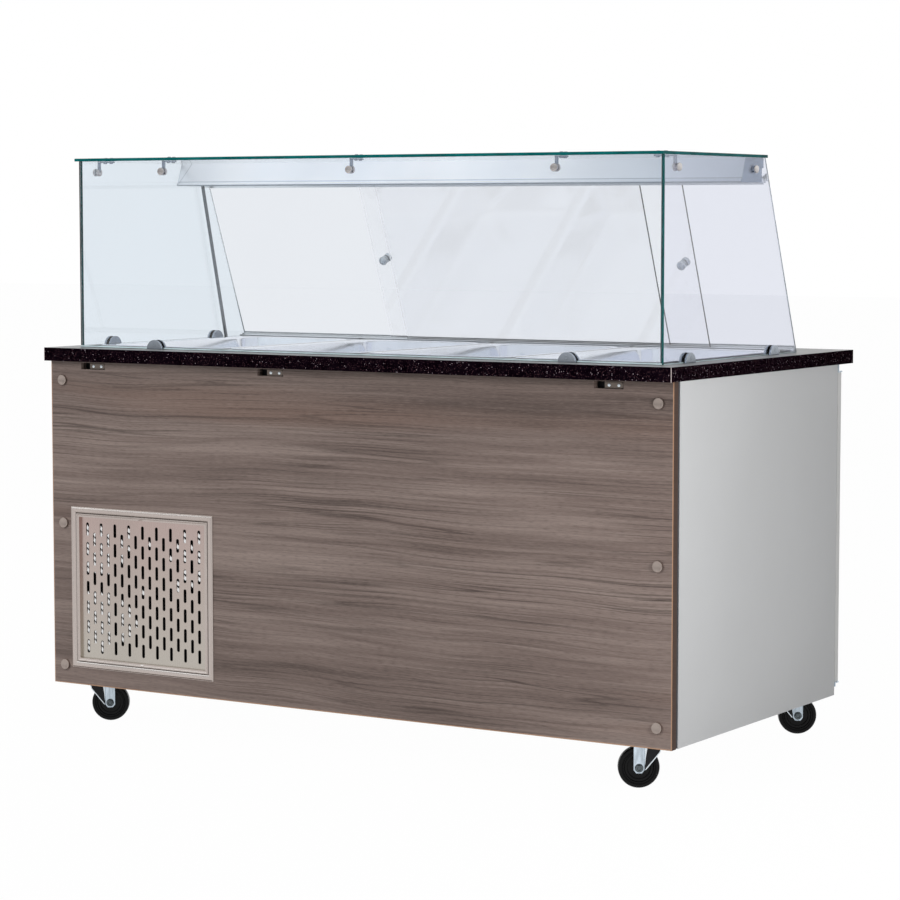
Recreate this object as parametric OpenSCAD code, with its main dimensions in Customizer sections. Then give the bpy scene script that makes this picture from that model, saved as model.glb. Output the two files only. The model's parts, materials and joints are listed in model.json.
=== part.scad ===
// Mobile refrigerated salad bar: a cabinet on four castors with a cold well for four
// full-size pans, under a glass guard with a lamp canopy and sliding rear doors.
// X runs along the front, Y from the customer's side to the server's side, Z up from the floor.

/* [Worktop] */
// Length of the worktop
top_w = 1510; // [1480:1:1600]
// Depth of the worktop, front to back
top_d = 822; // [810:1:880]
// Thickness of the worktop
top_t = 28; // [22:1:36]
// Height of the worktop's upper face
top_z = 810; // [790:1:900]
// Thickness of the speckled edge band
band_t = 2; // [1:0.5:4]

/* [Base cabinet] */
// Worktop overhang at each end
side_overhang = 4; // [2:1:10]
// Worktop overhang at the front
front_overhang = 19; // [12:1:26]
// Worktop overhang at the back, over the doors
rear_overhang = 68; // [58:1:76]
// Height of the panels' lower edge
skirt_z = 86; // [84:1:96]
// Thickness of the wood front panel
front_t = 18; // [16:1:22]
// Thickness of the end panels' sheet
end_t = 1.5; // [1:0.5:3]
// Width of the frame post left showing behind the front panel
post_show = 8; // [4:1:14]
// Width of the hem folded in under each end panel
hem_w = 16; // [8:1:20]
// Leg of the frame's steel angle
angle_leg = 40; // [36:1:46]
// Thickness of the frame's steel angle
angle_t = 3; // [2:0.5:5]
// Side of the frame's corner plates over the castors
corner_plate = 136; // [134:1:150]
// Thickness of the base floor
floor_t = 12; // [8:1:18]
// Width of the machine bay
bay_w = 459; // [450:1:500]
// Thickness of folded inner sheet
sheet_t = 1.5; // [1:0.5:2.5]
// Width of the folded flanges on the divider
fold_w = 20; // [12:1:30]
// Height of the shelf above the base floor
shelf_rise = 250; // [200:1:300]
// Thickness of the shelf
shelf_t = 16; // [12:1:20]

/* [Front fittings] */
// Diameter of the screw caps
cap_d = 22; // [18:1:28]
// How far the caps stand proud
cap_t = 5; // [3:0.5:8]
// Diameter of the cap screws
cap_screw_d = 5; // [4:0.5:6]
// Distance from the panel's side edge to the caps
cap_inset = 31; // [26:1:36]
// Distance from the panel's top and bottom edges to the caps
cap_drop = 41; // [34:1:60]
// Width of a tray-slide slot
slot_w = 64; // [56:1:76]
// Height of a tray-slide slot
slot_h = 14; // [12:1:18]
// Distance from the worktop down to the slots
slot_drop = 3; // [2:1:6]
// Width of the bracket plate inside a slot
slot_plate_w = 42; // [36:1:46]
// How deep the bracket plates sit in their slots
slot_recess = 3; // [2:0.5:6]
// Width of the vent grille
grille_w = 377; // [360:1:380]
// Height of the vent grille
grille_h = 347; // [340:1:360]
// Distance from the panel's left edge to the grille
grille_inset = 51; // [45:1:56]
// Distance from the panel's lower edge to the grille
grille_rise = 37; // [30:1:50]
// Width of the grille's flat lip
grille_lip = 20; // [14:1:22]
// Depth of the grille's perforated plate behind its lip
grille_depth = 6; // [4:1:10]
// Thickness of the grille's sheet
grille_t = 1.2; // [0.8:0.1:2]
// Columns of slots in the grille
grille_cols = 17; // [9:2:17]
// Slots in the taller columns of the grille
grille_rows = 7; // [4:1:7]
// Distance between the grille's columns
col_pitch = 18.6; // [16:0.1:19]
// Distance between slots in a column
row_pitch = 42; // [38:1:42]
// Length of a grille slot
perf_l = 29; // [20:1:32]
// Width of a grille slot
perf_w = 7.4; // [5:0.1:8]

/* [Pans and well] */
// Width of a full-size pan
pan_w = 325; // [315:1:328]
// Length of a full-size pan
pan_l = 530; // [500:1:540]
// Depth of a pan
pan_depth = 100; // [65:1:120]
// Sheet thickness of a pan
pan_t = 1; // [0.8:0.1:1.5]
// Width of a pan's rim
rim_w = 13; // [12:0.5:16]
// Height of a pan's rolled rim
rim_h = 3; // [2:0.5:5]
// Outer corner radius of a pan's rim
rim_r = 14; // [8:1:20]
// How far a pan's walls draw in towards its floor
pan_draft = 6; // [5.5:0.5:9]
// Corner radius inside a pan
pan_r = 45; // [30:1:60]
// Gap between neighbouring pans
pan_gap = 21; // [16:1:24]
// Distance from the worktop's front edge to the pans
pan_setback = 97; // [94:1:98]
// Width of each pan rim that rests on its support
rim_rest = 9; // [7:0.5:10]
// Width of the well's flange on the worktop
flange_w = 11; // [10:0.5:11.5]
// Thickness of the well's flange
flange_t = 1.5; // [1:0.5:2]
// Sheet thickness of the well
tub_t = 1; // [0.8:0.1:1.5]
// Depth of the well
tub_depth = 142; // [130:1:150]
// Height of the bars between the pans
bar_h = 12; // [8:1:16]
// Thickness of the well's insulation
ins_t = 30; // [20:1:32]
// Height of the space for the cooling pipe under the well
coil_gap = 12; // [10:1:16]
// Diameter of the drain pipe
drain_d = 26; // [20:1:30]
// Wall of the drain pipe
drain_wall = 2; // [1.5:0.5:3]
// Length of the drain pipe below the well
drain_l = 150; // [130:1:170]
// Length of the drain valve's lever
lever_l = 60; // [40:1:70]

/* [Glass guard] */
// Thickness of the fixed glass
glass_t = 6; // [5:0.5:8]
// Height of the front and end glass
glass_h = 396; // [380:1:440]
// Distance from the worktop's front edge to the front glass
glass_setback = 61; // [56:1:66]
// Distance from the worktop's end to the end glass
glass_inset = 51.5; // [46:0.5:54]
// Depth of the end glass at its foot
glass_foot_d = 593; // [585:1:600]
// Depth of the end glass at its top
glass_top_d = 438; // [430:1:445]
// How far the top glass stands past the end glass
top_glass_lap = 4.5; // [3:0.5:8]
// How far the top glass stands past the front glass
top_glass_nose = 9; // [6:1:14]
// Radius of the half-moon foot clamps
clamp_r = 20; // [16:1:24]
// Thickness of each half of a foot clamp
clamp_t = 7; // [5:0.5:9]
// Diameter of the clamp and bracket bolts through the glass
bolt_d = 8; // [6:0.5:10]
// Distance from the middle to the front glass's clamps
clamp_x = 500; // [460:1:560]
// Diameter of the brackets' round bosses
boss_d = 16; // [14:1:20]
// Thickness of the brackets' round bosses
boss_t = 6; // [4:0.5:8]
// Distance from the top glass down to the bosses
boss_drop = 23; // [18:1:28]
// Distance from the middle bracket to the outer front brackets
bracket_x = 475; // [440:1:520]
// How far left of the middle the row of front brackets stands
bracket_shift = 6; // [0:1:10]
// Length of a bracket's arm under the top glass
arm_l = 44; // [40:1:52]

/* [Lamp canopy and sliding doors] */
// Depth of the canopy at its lower edge
canopy_low_d = 91; // [86:1:93]
// Depth of the canopy at its top
canopy_top_d = 81; // [70:1:81]
// Height of the canopy
canopy_h = 49; // [46:1:52]
// Sheet thickness of the canopy
canopy_t = 1.2; // [0.8:0.1:2]
// Height of the hem along the canopy's front edge
canopy_hem = 6; // [4:0.5:8]
// Thickness of the sliding doors' glass
door_glass_t = 5; // [4:0.5:5]
// Width of the right sliding door
right_slide_w = 747; // [740:1:755]
// How much narrower the left sliding door is
left_slide_less = 50; // [45:1:55]
// Distance from the left door's left edge to the middle, where it stands in the photo
left_door_x = 284; // [280:1:288]
// Distance from the right door's left edge to the middle, where it stands in the photo
right_door_x = 236; // [232:1:240]
// Height of the sliding doors' knobs above the worktop, along the glass
knob_rise = 202; // [150:1:240]
// Diameter of the sliding doors' knobs
knob_d = 20; // [16:1:22]
// How far a knob stands out from its door
knob_reach = 13; // [10:0.5:14]
// Width of the conduit post
post_w = 5; // [4:0.5:8]
// Depth of the conduit post
post_d = 6; // [5:0.5:10]
// Distance from the end glass to the middle of the conduit post
post_inset = 8; // [6:0.5:10]

/* [Rear doors and controls] */
// Thickness of the cupboard doors
door_t = 16; // [15:0.5:20]
// Diameter of the doors' pivot pins
pivot_d = 6; // [5:0.5:6]
// Height of the doors' lower edge above the panels' lower edge
door_rise = 28; // [26:1:30]
// Distance from the worktop down to the doors
door_drop = 17; // [15:1:22]
// Length of the doors' handles
handle_l = 160; // [120:1:200]
// Diameter of the handles' bars
handle_d = 10; // [8:0.5:12]
// Finger space behind the handles
handle_gap = 18; // [16:1:22]
// Diameter of the thermostat dial
dial_d = 44; // [36:1:50]

/* [Castors] */
// Radius of the wheels
wheel_r = 40; // [36:1:40]
// Width of the wheels
wheel_w = 25; // [20:1:28]
// Height of the castors, floor to mounting face
castor_h = 104; // [102:1:110]
// Distance from the swivel axis to the axle
trail = 30; // [24:1:32]
// Distance from the base's ends to the front castors' swivel axes
castor_inset = 68; // [66:1:76]
// Distance from the base's ends to the rear castors' swivel axes
rear_castor_inset = 103; // [96:1:106]
// Distance from the front panel's face to the front castors' swivel axes
castor_setback = 59; // [57:1:64]
// Distance from the base's back to the rear castors' swivel axes
rear_castor_setback = 32; // [32:1:40]
// Angle at which the castors stand turned
castor_turn = 32; // [0:1:90]
// Diameter of the axle bolts
axle_d = 8; // [6:0.5:10]

/* [Hidden] */
$fn = 48;

// clearances
run_gap = 0.05;   // a pin in its bore
seat_gap = 0.3;   // a part of another body on its seat
fit_gap = 0.5;    // sheet and glass beside what they stand against
cut_gap = 1;      // a cut-out round what passes through it
slide_gap = 1.5;  // sliding glass beside the walls of its track
pass_gap = 2;     // glass or a door beside what it moves past
eps = 0.01;       // overshoot of a cut

// colours
stainless = "silver";
zinc = "lightsteelblue";
glass_tint = [0.75, 0.9, 0.9, 0.4];

// overall places
half_w = top_w / 2;
y_front = -top_d / 2;
y_back = top_d / 2;
under_z = top_z - top_t;
base_x = half_w - side_overhang;
base_y0 = y_front + front_overhang;
base_y1 = y_back - rear_overhang;
frame_x = base_x - end_t;
frame_y0 = base_y0 + front_t;
frame_z = castor_h;
floor_z = frame_z + angle_t + floor_t;
divider_x = bay_w - base_x;
shelf_z = floor_z + shelf_rise;

// front fittings
slot_xs = [-637, -174, 612];
slot_screw_r = 2.5;
slot_screw_h = 1;
slot_top = under_z - slot_drop;
cap_z_low = skirt_z + cap_drop;
cap_z_high = under_z - cap_drop;
cap_x = base_x - cap_inset;
cap_zs = [cap_z_low, (cap_z_low + cap_z_high) / 2, cap_z_high];
grille_x0 = grille_inset - base_x;
grille_x1 = grille_x0 + grille_w;
grille_z0 = skirt_z + grille_rise;
grille_z1 = grille_z0 + grille_h;
grille_cx = (grille_x0 + grille_x1) / 2;
grille_cz = (grille_z0 + grille_z1) / 2;
notch_w = 6;
notch_h = 4;

// pans and well
pan_count = 4;
pan_pitch = pan_w + pan_gap;
pans_hw = (pan_count * pan_w + (pan_count - 1) * pan_gap) / 2;
pan_y0 = y_front + pan_setback;
pan_yc = pan_y0 + pan_l / 2;
well_hx = pans_hw - rim_rest;
well_hy = pan_l / 2 - rim_rest;
flange_z = top_z + flange_t;
tub_z = flange_z - tub_depth;
tub_under = tub_z - tub_t;
ins_z = tub_under - coil_gap - ins_t;
bar_hw = pan_gap / 2 + rim_rest;
bar_t = 1.5;
ledge_d = 15;
ledge_t = 2;
pan_z0 = flange_z + seat_gap;

// drain
drain_x = divider_x + 62;
drain_y = pan_yc + well_hy - 44;
drain_r = drain_d / 2;
drain_end = tub_under - drain_l;
valve_drop = 90;
valve_z = tub_under - valve_drop;
valve_r = 19;
valve_h = 40;
stem_r = 4;
stem_l = 16;
stem_pin_l = 8;
lever_w = 14;
lever_t = 4;

// cooling pipe
pipe_r = 4;
pipe_rise = 50;
pipe_loop = 60;
coil_runs = 6;
coil_pitch = 68;
coil_x = well_hx - 62;
coil_z = tub_under - coil_gap / 2;
coil_lip = 20;
coil_y0 = pan_yc - coil_pitch * (coil_runs - 1) / 2;
coil_y1 = pan_yc + coil_pitch * (coil_runs - 1) / 2;

// refrigeration unit
cond_hw = grille_w / 2 - 16;
cond_y0 = frame_y0 + 14;
cond_d = 45;
cond_y1 = cond_y0 + cond_d;
cond_h = 340;
cond_zc = floor_z + cond_h / 2;
cond_plate = 2;
fin_pitch = 14;
fin_depth = 8;
shroud_t = 2;
shroud_d = 46;
fan_r = 132;
fan_hub_r = 22;
fan_h = 30;
fan_y0 = cond_y1 + 8;
blade_count = 5;
blade_w = 62;
blade_t = 2;
blade_pitch = 24;
motor_r = 42;
motor_l = 58;
motor_y0 = fan_y0 + fan_h + 6;
motor_shaft_r = 4;
spoke_w = 8;
comp_x = divider_x - bay_w / 2 + 4;
comp_setback = 480;
comp_y = y_front + comp_setback;
comp_r = 70;
comp_h = 165;
comp_foot_h = 12;
comp_foot_r = 11;
comp_plate = [190, 150, 4];
foot_spread = 0.4;
dome_from = 0.72;
port_x = 32;
port_r = 7;
port_h = 22;
comp_top = floor_z + comp_foot_h + comp_plate[2] + comp_h;
port_top = comp_top + port_h;

// glass guard
glass_x = half_w - glass_inset;
glass_in = glass_x - glass_t;
glass_y0 = y_front + glass_setback;
glass_yi = glass_y0 + glass_t;
glass_z1 = top_z + glass_h;
foot_y1 = glass_y0 + glass_foot_d;
head_y1 = glass_y0 + glass_top_d;
lean = atan((foot_y1 - head_y1) / glass_h);
clamp_bolt_z = top_z + clamp_r / 2;
bolt_r = bolt_d / 2;
bolt_hole_r = bolt_r + seat_gap;
side_clamp_setbacks = [167, 537];
side_clamp_ys = [for (d = side_clamp_setbacks) y_front + d];
bracket_setback = 120;
bracket_y = y_front + bracket_setback;
bracket_xs = [for (i = [-1 : 1]) i * bracket_x - bracket_shift];
boss_z = glass_z1 - boss_drop;
stem_w = 6;
arm_w = 9;
arm_t = 2.5;
arm_screws = [20, 36];
arm_screw_r = 2;
arm_head_r = 4;
arm_head_h = 2;
arm_z1 = glass_z1 - seat_gap;

// canopy, tracks and sliding doors, in the plane of the leaning doors:
// u runs up the slope from the foot of the end glass, n runs inwards from its rear edge
canopy_low_z = glass_z1 - canopy_h;
track_t = 1.5;
track_gap = 1;
track_mid = track_gap + track_t + 2 * slide_gap + door_glass_t;
door_a_n = track_gap + track_t + slide_gap;
door_b_n = track_mid + track_t + slide_gap;
track_n1 = door_b_n + door_glass_t + slide_gap;
boss_rise = 1;
track_base = 3;
track_wall_u = 16;
track_top_u = (canopy_low_z - top_z) / cos(lean) + 20;
canopy_x = glass_in - seat_gap;
canopy_setback = 488;
canopy_y1 = y_front + canopy_setback;
canopy_step = 7;
canopy_step_z = 20;
canopy_lip = 12;
canopy_screw_in = 37;
canopy_screw_drop = 23;
canopy_screw_y = canopy_y1 - canopy_screw_in;
canopy_screw_z = glass_z1 - canopy_screw_drop;
canopy_screw_r = 3;
canopy_nut_r = 6;
canopy_nut_t = 4;
lamp_w = 34;
lamp_h = 15;
lamp_hl = 620;
post_x = glass_in - post_inset;
post_top_in = 7.5;
post_foot_setback = 566;
post_top_y = canopy_y1 - post_top_in;
post_foot_y = y_front + post_foot_setback;
knob_neck_r = 5;
knob_disc_t = 3;
knob_pin_r = 4;
knob_inset = 28;

// rear doors
door_gap = 2;
door_y0 = base_y1 + door_gap;
door_y1 = door_y0 + door_t;
door_z0 = skirt_z + door_rise;
door_z1 = under_z - door_drop;
pivot_r = pivot_d / 2;
pivot_in = 6;
pivot_y = door_y1 - 4;
pivot_depth = 18;
pivot_plate = 3;
pivot_hw = 8;
door_x0 = divider_x + 2;
door_xm = (door_x0 + base_x) / 2;
handle_inset = 40;
handle_rise = 120;
handle_z = (door_z0 + door_z1) / 2 + handle_rise;
handle_post_r = 4;
cover_x1 = divider_x - 1;

// controls
box_w = 210;
box_h = 120;
box_in = 50;
box_drop = 52;
box_x1 = divider_x - box_in;
box_x0 = box_x1 - box_w;
box_z1 = under_z - box_drop;
box_z0 = box_z1 - box_h;
box_d = 60;
box_y0 = max(base_y1 - box_d, pan_yc + well_hy + tub_t + ins_t + cut_gap);
cover_in = door_y1 - sheet_t;
box_y1 = cover_in - seat_gap;
ctl_z = (box_z0 + box_z1) / 2;
rocker_w = 24;
rocker_h = 34;
rocker_d = 9;
rocker_tilt = 6;
rocker_pin_r = 1.5;
rocker_pin_l = 2;
rocker_gap = 0.4;
rocker_y = door_y1 - 1;
bezel_w = 3;
bezel_t = 2;
power_in = 32;
rocker_pitch = 42;
dial_in = 50;
power_x = box_x1 - power_in;
light_x = power_x - rocker_pitch;
dial_x = box_x0 + dial_in;
dial_t = 16;
dial_grip_r = dial_d * 0.36;
pointer_w = 2;
dial_shaft_r = 3;
dial_bore = 14;
vent_rows = 9;
vent_pitch = 34;
vent_l = 300;
vent_w = 8;
vent_z0 = door_z0 + 60;
gland_x = -base_x + 70;
gland_z = door_z0 + 30;
gland_r = 12;
gland_l = 14;
gland_bore_r = 5;

// castors
axle_r = axle_d / 2;
fork_t = 2.5;
fork_gap = 2;
fork_in = wheel_w / 2 + fork_gap;
crown_z = 88;
crown_t = 3;
crown_r = 24;
race_r = 22;
race_gap_z = castor_h - 9;
plate_hw = 30;
plate_t = 3;
plate_bolt = 22;
plate_bolt_r = 5;
plate_bolt_h = 4;
king_r = 5;
king_head_r = 8;
king_head_h = 3;
bolt_head_af = 13;
bolt_head_t = 5;
fork_hole_gap = 0.15;
fork_strip = 10.5;
fork_web = [[-10, crown_z], [-10, crown_z + crown_t], [-46, crown_z + crown_t], [-46, crown_z - crown_t],
            [-40, wheel_r + 29], [-24, wheel_r + 9], [-12, wheel_r - 6]];
groove_x = [-21, -17];
groove_in = 4;
nut_more = 2;
castor_front_y = base_y0 + castor_setback;
castor_rear_y = base_y1 - rear_castor_setback;
// swivel axis and turn of each castor: front left, front right, rear left, rear right
castors = [
  [castor_inset - base_x, castor_front_y, castor_turn],
  [base_x - castor_inset, castor_front_y, castor_turn + 180],
  [rear_castor_inset - base_x, castor_rear_y, castor_turn],
  [base_x - rear_castor_inset, castor_rear_y, castor_turn]
];

// ---- helpers ----

// box between two opposite corners
module block(lo, hi) {
  translate(lo) cube(hi - lo);
}

// rectangle with round corners, centred
module round_rect(w, l, r) {
  square([w - 2 * r, l], center = true);
  square([w, l - 2 * r], center = true);
  for (x = [-1, 1], y = [-1, 1])
    translate([x * (w / 2 - r), y * (l / 2 - r)]) circle(r);
}

// cylinder from z0 to z1
module rod_z(x, y, z0, z1, r) {
  translate([x, y, z0]) cylinder(r = r, h = z1 - z0);
}

// cylinder along Y from y0 to y1
module rod_y(x, z, y0, y1, r) {
  translate([x, y0, z]) rotate([-90, 0, 0]) cylinder(r = r, h = y1 - y0);
}

// cylinder along X from x0 to x1
module rod_x(y, z, x0, x1, r) {
  translate([x0, y, z]) rotate([0, 90, 0]) cylinder(r = r, h = x1 - x0);
}

// profile drawn in Y and Z, run along X from x0 to x1
module run_x(x0, x1) {
  translate([x0, 0, 0]) rotate([90, 0, 90]) linear_extrude(x1 - x0) children();
}

// bent pipe through a list of points
module pipe(points, r) {
  for (i = [0 : len(points) - 2]) {
    a = points[i];
    v = points[i + 1] - a;
    l = norm(v);
    translate(a)
      rotate([0, acos(v[2] / l), atan2(v[1], v[0])])
        cylinder(r = r, h = l);
  }
  for (i = [1 : len(points) - 2])
    translate(points[i]) sphere(r);
}

// point of the leaning plane: n inwards, u up the slope
function slope(n, u) = [
  foot_y1 - n * cos(lean) - u * sin(lean),
  top_z - n * sin(lean) + u * cos(lean)
];

// point at height z on the leaning plane that lies n inside the rear edge
function track_point(n, z) = [foot_y1 - n / cos(lean) - (z - top_z) * tan(lean), z];

// rectangle in the leaning plane's section
module slope_rect(n0, n1, u0, u1) {
  polygon([slope(n0, u0), slope(n1, u0), slope(n1, u1), slope(n0, u1)]);
}

// lowest u at which a door with inner face n1 clears the track's base
function door_u0(n1) = (track_base + seat_gap + n1 * sin(lean)) / cos(lean);

// ---- worktop and base ----

module worktop() {
  color("darkgray")
    difference() {
      block([band_t - half_w, y_front + band_t, under_z], [half_w - band_t, y_back - band_t, top_z]);
      block([-well_hx - tub_t - cut_gap, pan_yc - well_hy - tub_t - cut_gap, under_z - eps],
            [well_hx + tub_t + cut_gap, pan_yc + well_hy + tub_t + cut_gap, top_z + eps]);
    }
}

module edge_band() {
  color([0.1, 0.06, 0.09])
    difference() {
      block([-half_w, y_front, under_z], [half_w, y_back, top_z]);
      block([band_t - half_w, y_front + band_t, under_z - eps], [half_w - band_t, y_back - band_t, top_z + eps]);
    }
}

module front_panel() {
  color([0.45, 0.4, 0.37])
    difference() {
      block([-base_x, base_y0, skirt_z], [base_x, frame_y0, under_z]);
      for (x = [-cap_x, cap_x], z = cap_zs)
        rod_y(x, z, base_y0 - eps, frame_y0 + eps, cap_screw_d / 2 + run_gap);
      for (x = slot_xs)
        block([x - slot_w / 2, base_y0 - eps, slot_top - slot_h], [x + slot_w / 2, frame_y0 + eps, slot_top]);
      block([grille_x0 + grille_lip - cut_gap, base_y0 - eps, grille_z0 + grille_lip - cut_gap],
            [grille_x1 - grille_lip + cut_gap, frame_y0 + eps, grille_z1 - grille_lip + cut_gap]);
    }
}

module panel_caps() {
  color([0.62, 0.57, 0.54])
    for (x = [-cap_x, cap_x], z = cap_zs) {
      rod_y(x, z, base_y0 - cap_t, base_y0, cap_d / 2);
      rod_y(x, z, base_y0 - eps, frame_y0, cap_screw_d / 2);
    }
}

module tray_brackets() {
  z0 = slot_top - slot_h + fit_gap;
  z1 = slot_top - fit_gap;
  color("gray")
    for (x = slot_xs) {
      x1 = x + slot_w / 2 - fit_gap;
      block([x - slot_w / 2 + fit_gap, frame_y0 - sheet_t, z0], [x1, frame_y0, z1]);
      block([x1 - slot_plate_w, base_y0 + slot_recess, z0], [x1, frame_y0, z1]);
      for (s = [1, 3])
        rod_y(x1 - slot_plate_w * s / 4, (z0 + z1) / 2, base_y0 + slot_recess - slot_screw_h,
              base_y0 + slot_recess + eps, slot_screw_r);
    }
}

// one slot of the grille, standing upright
module perforation() {
  square([perf_w, perf_l - perf_w], center = true);
  for (s = [-1, 1])
    translate([0, s * (perf_l - perf_w) / 2]) circle(perf_w / 2);
}

module vent_grille() {
  in_w = grille_w - 2 * grille_lip;
  in_h = grille_h - 2 * grille_lip;
  color(stainless)
    translate([grille_cx, base_y0, grille_cz]) rotate([90, 0, 0]) {
      // flat lip on the panel's face, with a small notch at its top and bottom
      linear_extrude(grille_t)
        difference() {
          square([grille_w, grille_h], center = true);
          square([in_w - 2 * grille_t, in_h - 2 * grille_t], center = true);
          for (s = [-1, 1])
            translate([0, s * in_h / 2])
              polygon([[-notch_w, -s], [notch_w, -s], [0, s * notch_h]]);
        }
      // walls of the recess
      translate([0, 0, -grille_depth])
        linear_extrude(grille_depth)
          difference() {
            square([in_w, in_h], center = true);
            square([in_w - 2 * grille_t, in_h - 2 * grille_t], center = true);
          }
      // perforated plate, its columns staggered by half a pitch
      translate([0, 0, -grille_depth])
        linear_extrude(grille_t)
          difference() {
            square([in_w, in_h], center = true);
            for (c = [0 : grille_cols - 1]) {
              rows = grille_rows - c % 2;
              for (r = [0 : rows - 1])
                translate([(c - (grille_cols - 1) / 2) * col_pitch, (r - (rows - 1) / 2) * row_pitch])
                  perforation();
            }
          }
    }
}

// flat sheet with a hem folded in under it
module end_panel(side) {
  color("whitesmoke")
    mirror([side < 0 ? 1 : 0, 0, 0]) {
      block([frame_x, frame_y0 + post_show, skirt_z], [base_x, base_y1, under_z]);
      block([base_x - hem_w, frame_y0 + post_show, skirt_z], [base_x, base_y1, skirt_z + end_t]);
    }
}

// square ring of steel angle, its flat leg at z, its upright leg rising or falling
module angle_ring(z, rise) {
  up0 = rise > 0 ? z : z - angle_leg;
  flat0 = rise > 0 ? z : z - angle_t;
  difference() {
    block([-frame_x, frame_y0, up0], [frame_x, base_y1, up0 + angle_leg]);
    block([angle_t - frame_x, frame_y0 + angle_t, up0 - eps], [frame_x - angle_t, base_y1 - angle_t, up0 + angle_leg + eps]);
  }
  difference() {
    block([-frame_x, frame_y0, flat0], [frame_x, base_y1, flat0 + angle_t]);
    block([angle_leg - frame_x, frame_y0 + angle_leg, flat0 - eps],
          [frame_x - angle_leg, base_y1 - angle_leg, flat0 + angle_t + eps]);
  }
}

module chassis_frame() {
  color("dimgray") {
    angle_ring(frame_z, 1);
    angle_ring(under_z, -1);
    for (sx = [-1, 1], sy = [0, 1])
      mirror([sx < 0 ? 1 : 0, 0, 0]) {
        y = sy == 0 ? frame_y0 : base_y1;
        dy = sy == 0 ? 1 : -1;
        // post, at the front down to the hem of the end panels
        foot_z = sy == 0 ? skirt_z + end_t : frame_z;
        block([frame_x - angle_leg, min(y, y + dy * angle_t), foot_z],
              [frame_x, max(y, y + dy * angle_t), under_z]);
        block([frame_x - angle_t, min(y, y + dy * angle_leg), foot_z],
              [frame_x, max(y, y + dy * angle_leg), under_z]);
        // plate over the castor
        block([frame_x - corner_plate, min(y, y + dy * corner_plate), frame_z],
              [frame_x, max(y, y + dy * corner_plate), frame_z + angle_t]);
      }
    // rail that carries the shelf's right end
    block([frame_x - angle_leg, frame_y0, shelf_z - angle_t], [frame_x, base_y1, shelf_z]);
  }
}

module base_floor() {
  x = frame_x - angle_t - fit_gap;
  y0 = frame_y0 + angle_t + fit_gap;
  y1 = base_y1 - angle_t - fit_gap;
  cut = angle_leg - angle_t;
  color("lightgray")
    difference() {
      block([-x, y0, floor_z - floor_t], [x, y1, floor_z]);
      for (sx = [-1, 1], sy = [0, 1])
        translate([sx * x - cut, (sy == 0 ? y0 : y1) - cut, floor_z - floor_t - eps])
          cube([2 * cut, 2 * cut, floor_t + 2 * eps]);
    }
}

module bay_divider() {
  y0 = frame_y0 + angle_leg + cut_gap;
  y1 = base_y1 - angle_leg - cut_gap;
  x0 = divider_x - sheet_t / 2;
  color("lightgray") {
    block([x0, y0, floor_z], [x0 + sheet_t, y1, ins_z]);
    for (z = [floor_z, shelf_z - sheet_t, ins_z - sheet_t])
      block([x0, y0, z], [x0 + fold_w, y1, z + sheet_t]);
  }
}

module shelf() {
  color("lightgray")
    block([divider_x + sheet_t / 2 + fit_gap, frame_y0 + angle_leg + cut_gap, shelf_z],
          [frame_x - angle_t - fit_gap, base_y1 - angle_leg - cut_gap, shelf_z + shelf_t]);
}

// ---- rear side ----

// switch cut-out or boss, grown by a margin
module switch_block(x, y0, y1, grow) {
  block([x - rocker_w / 2 - grow, y0, ctl_z - rocker_h / 2 - grow],
        [x + rocker_w / 2 + grow, y1, ctl_z + rocker_h / 2 + grow]);
}

module service_panel() {
  color("whitesmoke") {
    difference() {
      block([-base_x, base_y1, door_z0], [cover_x1, door_y1, door_z1]);
      block([sheet_t - base_x, base_y1 - eps, door_z0 + sheet_t], [cover_x1 - sheet_t, cover_in, door_z1 - sheet_t]);
      for (x = [power_x, light_x])
        switch_block(x, cover_in - eps, door_y1 + eps, bezel_w + fit_gap);
      rod_y(dial_x, ctl_z, cover_in - eps, door_y1 + eps, dial_shaft_r + fit_gap);
      rod_y(gland_x, gland_z, cover_in - eps, door_y1 + eps, gland_bore_r);
      for (i = [0 : vent_rows - 1])
        block([(cover_x1 - base_x - vent_l) / 2, cover_in - eps, vent_z0 + i * vent_pitch],
              [(cover_x1 - base_x + vent_l) / 2, door_y1 + eps, vent_z0 + i * vent_pitch + vent_w]);
    }
    // gland where a supply lead would enter
    difference() {
      rod_y(gland_x, gland_z, door_y1 - eps, door_y1 + gland_l, gland_r);
      rod_y(gland_x, gland_z, door_y1 - 2 * eps, door_y1 + gland_l + eps, gland_bore_r);
    }
  }
}

// closed housing behind the service panel, with a pocket for each rocker
module control_box() {
  color([0.2, 0.2, 0.22])
    difference() {
      union() {
        block([box_x0, box_y0, box_z0], [box_x1, box_y1, box_z1]);
        for (x = [power_x, light_x]) {
          switch_block(x, box_y1 - eps, door_y1 + bezel_t, bezel_w);
          rod_x(rocker_y, ctl_z, x - rocker_w / 2 - bezel_w, x + rocker_w / 2 + bezel_w, bezel_w);
        }
      }
      for (x = [power_x, light_x]) {
        switch_block(x, rocker_y - rocker_d, door_y1 + rocker_d, rocker_gap);
        rod_x(rocker_y, ctl_z, x - rocker_w / 2 - rocker_pin_l - rocker_gap,
              x + rocker_w / 2 + rocker_pin_l + rocker_gap, rocker_pin_r + run_gap);
      }
      rod_y(dial_x, ctl_z, box_y1 - dial_bore, box_y1 + eps, dial_shaft_r + run_gap);
    }
}

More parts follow.
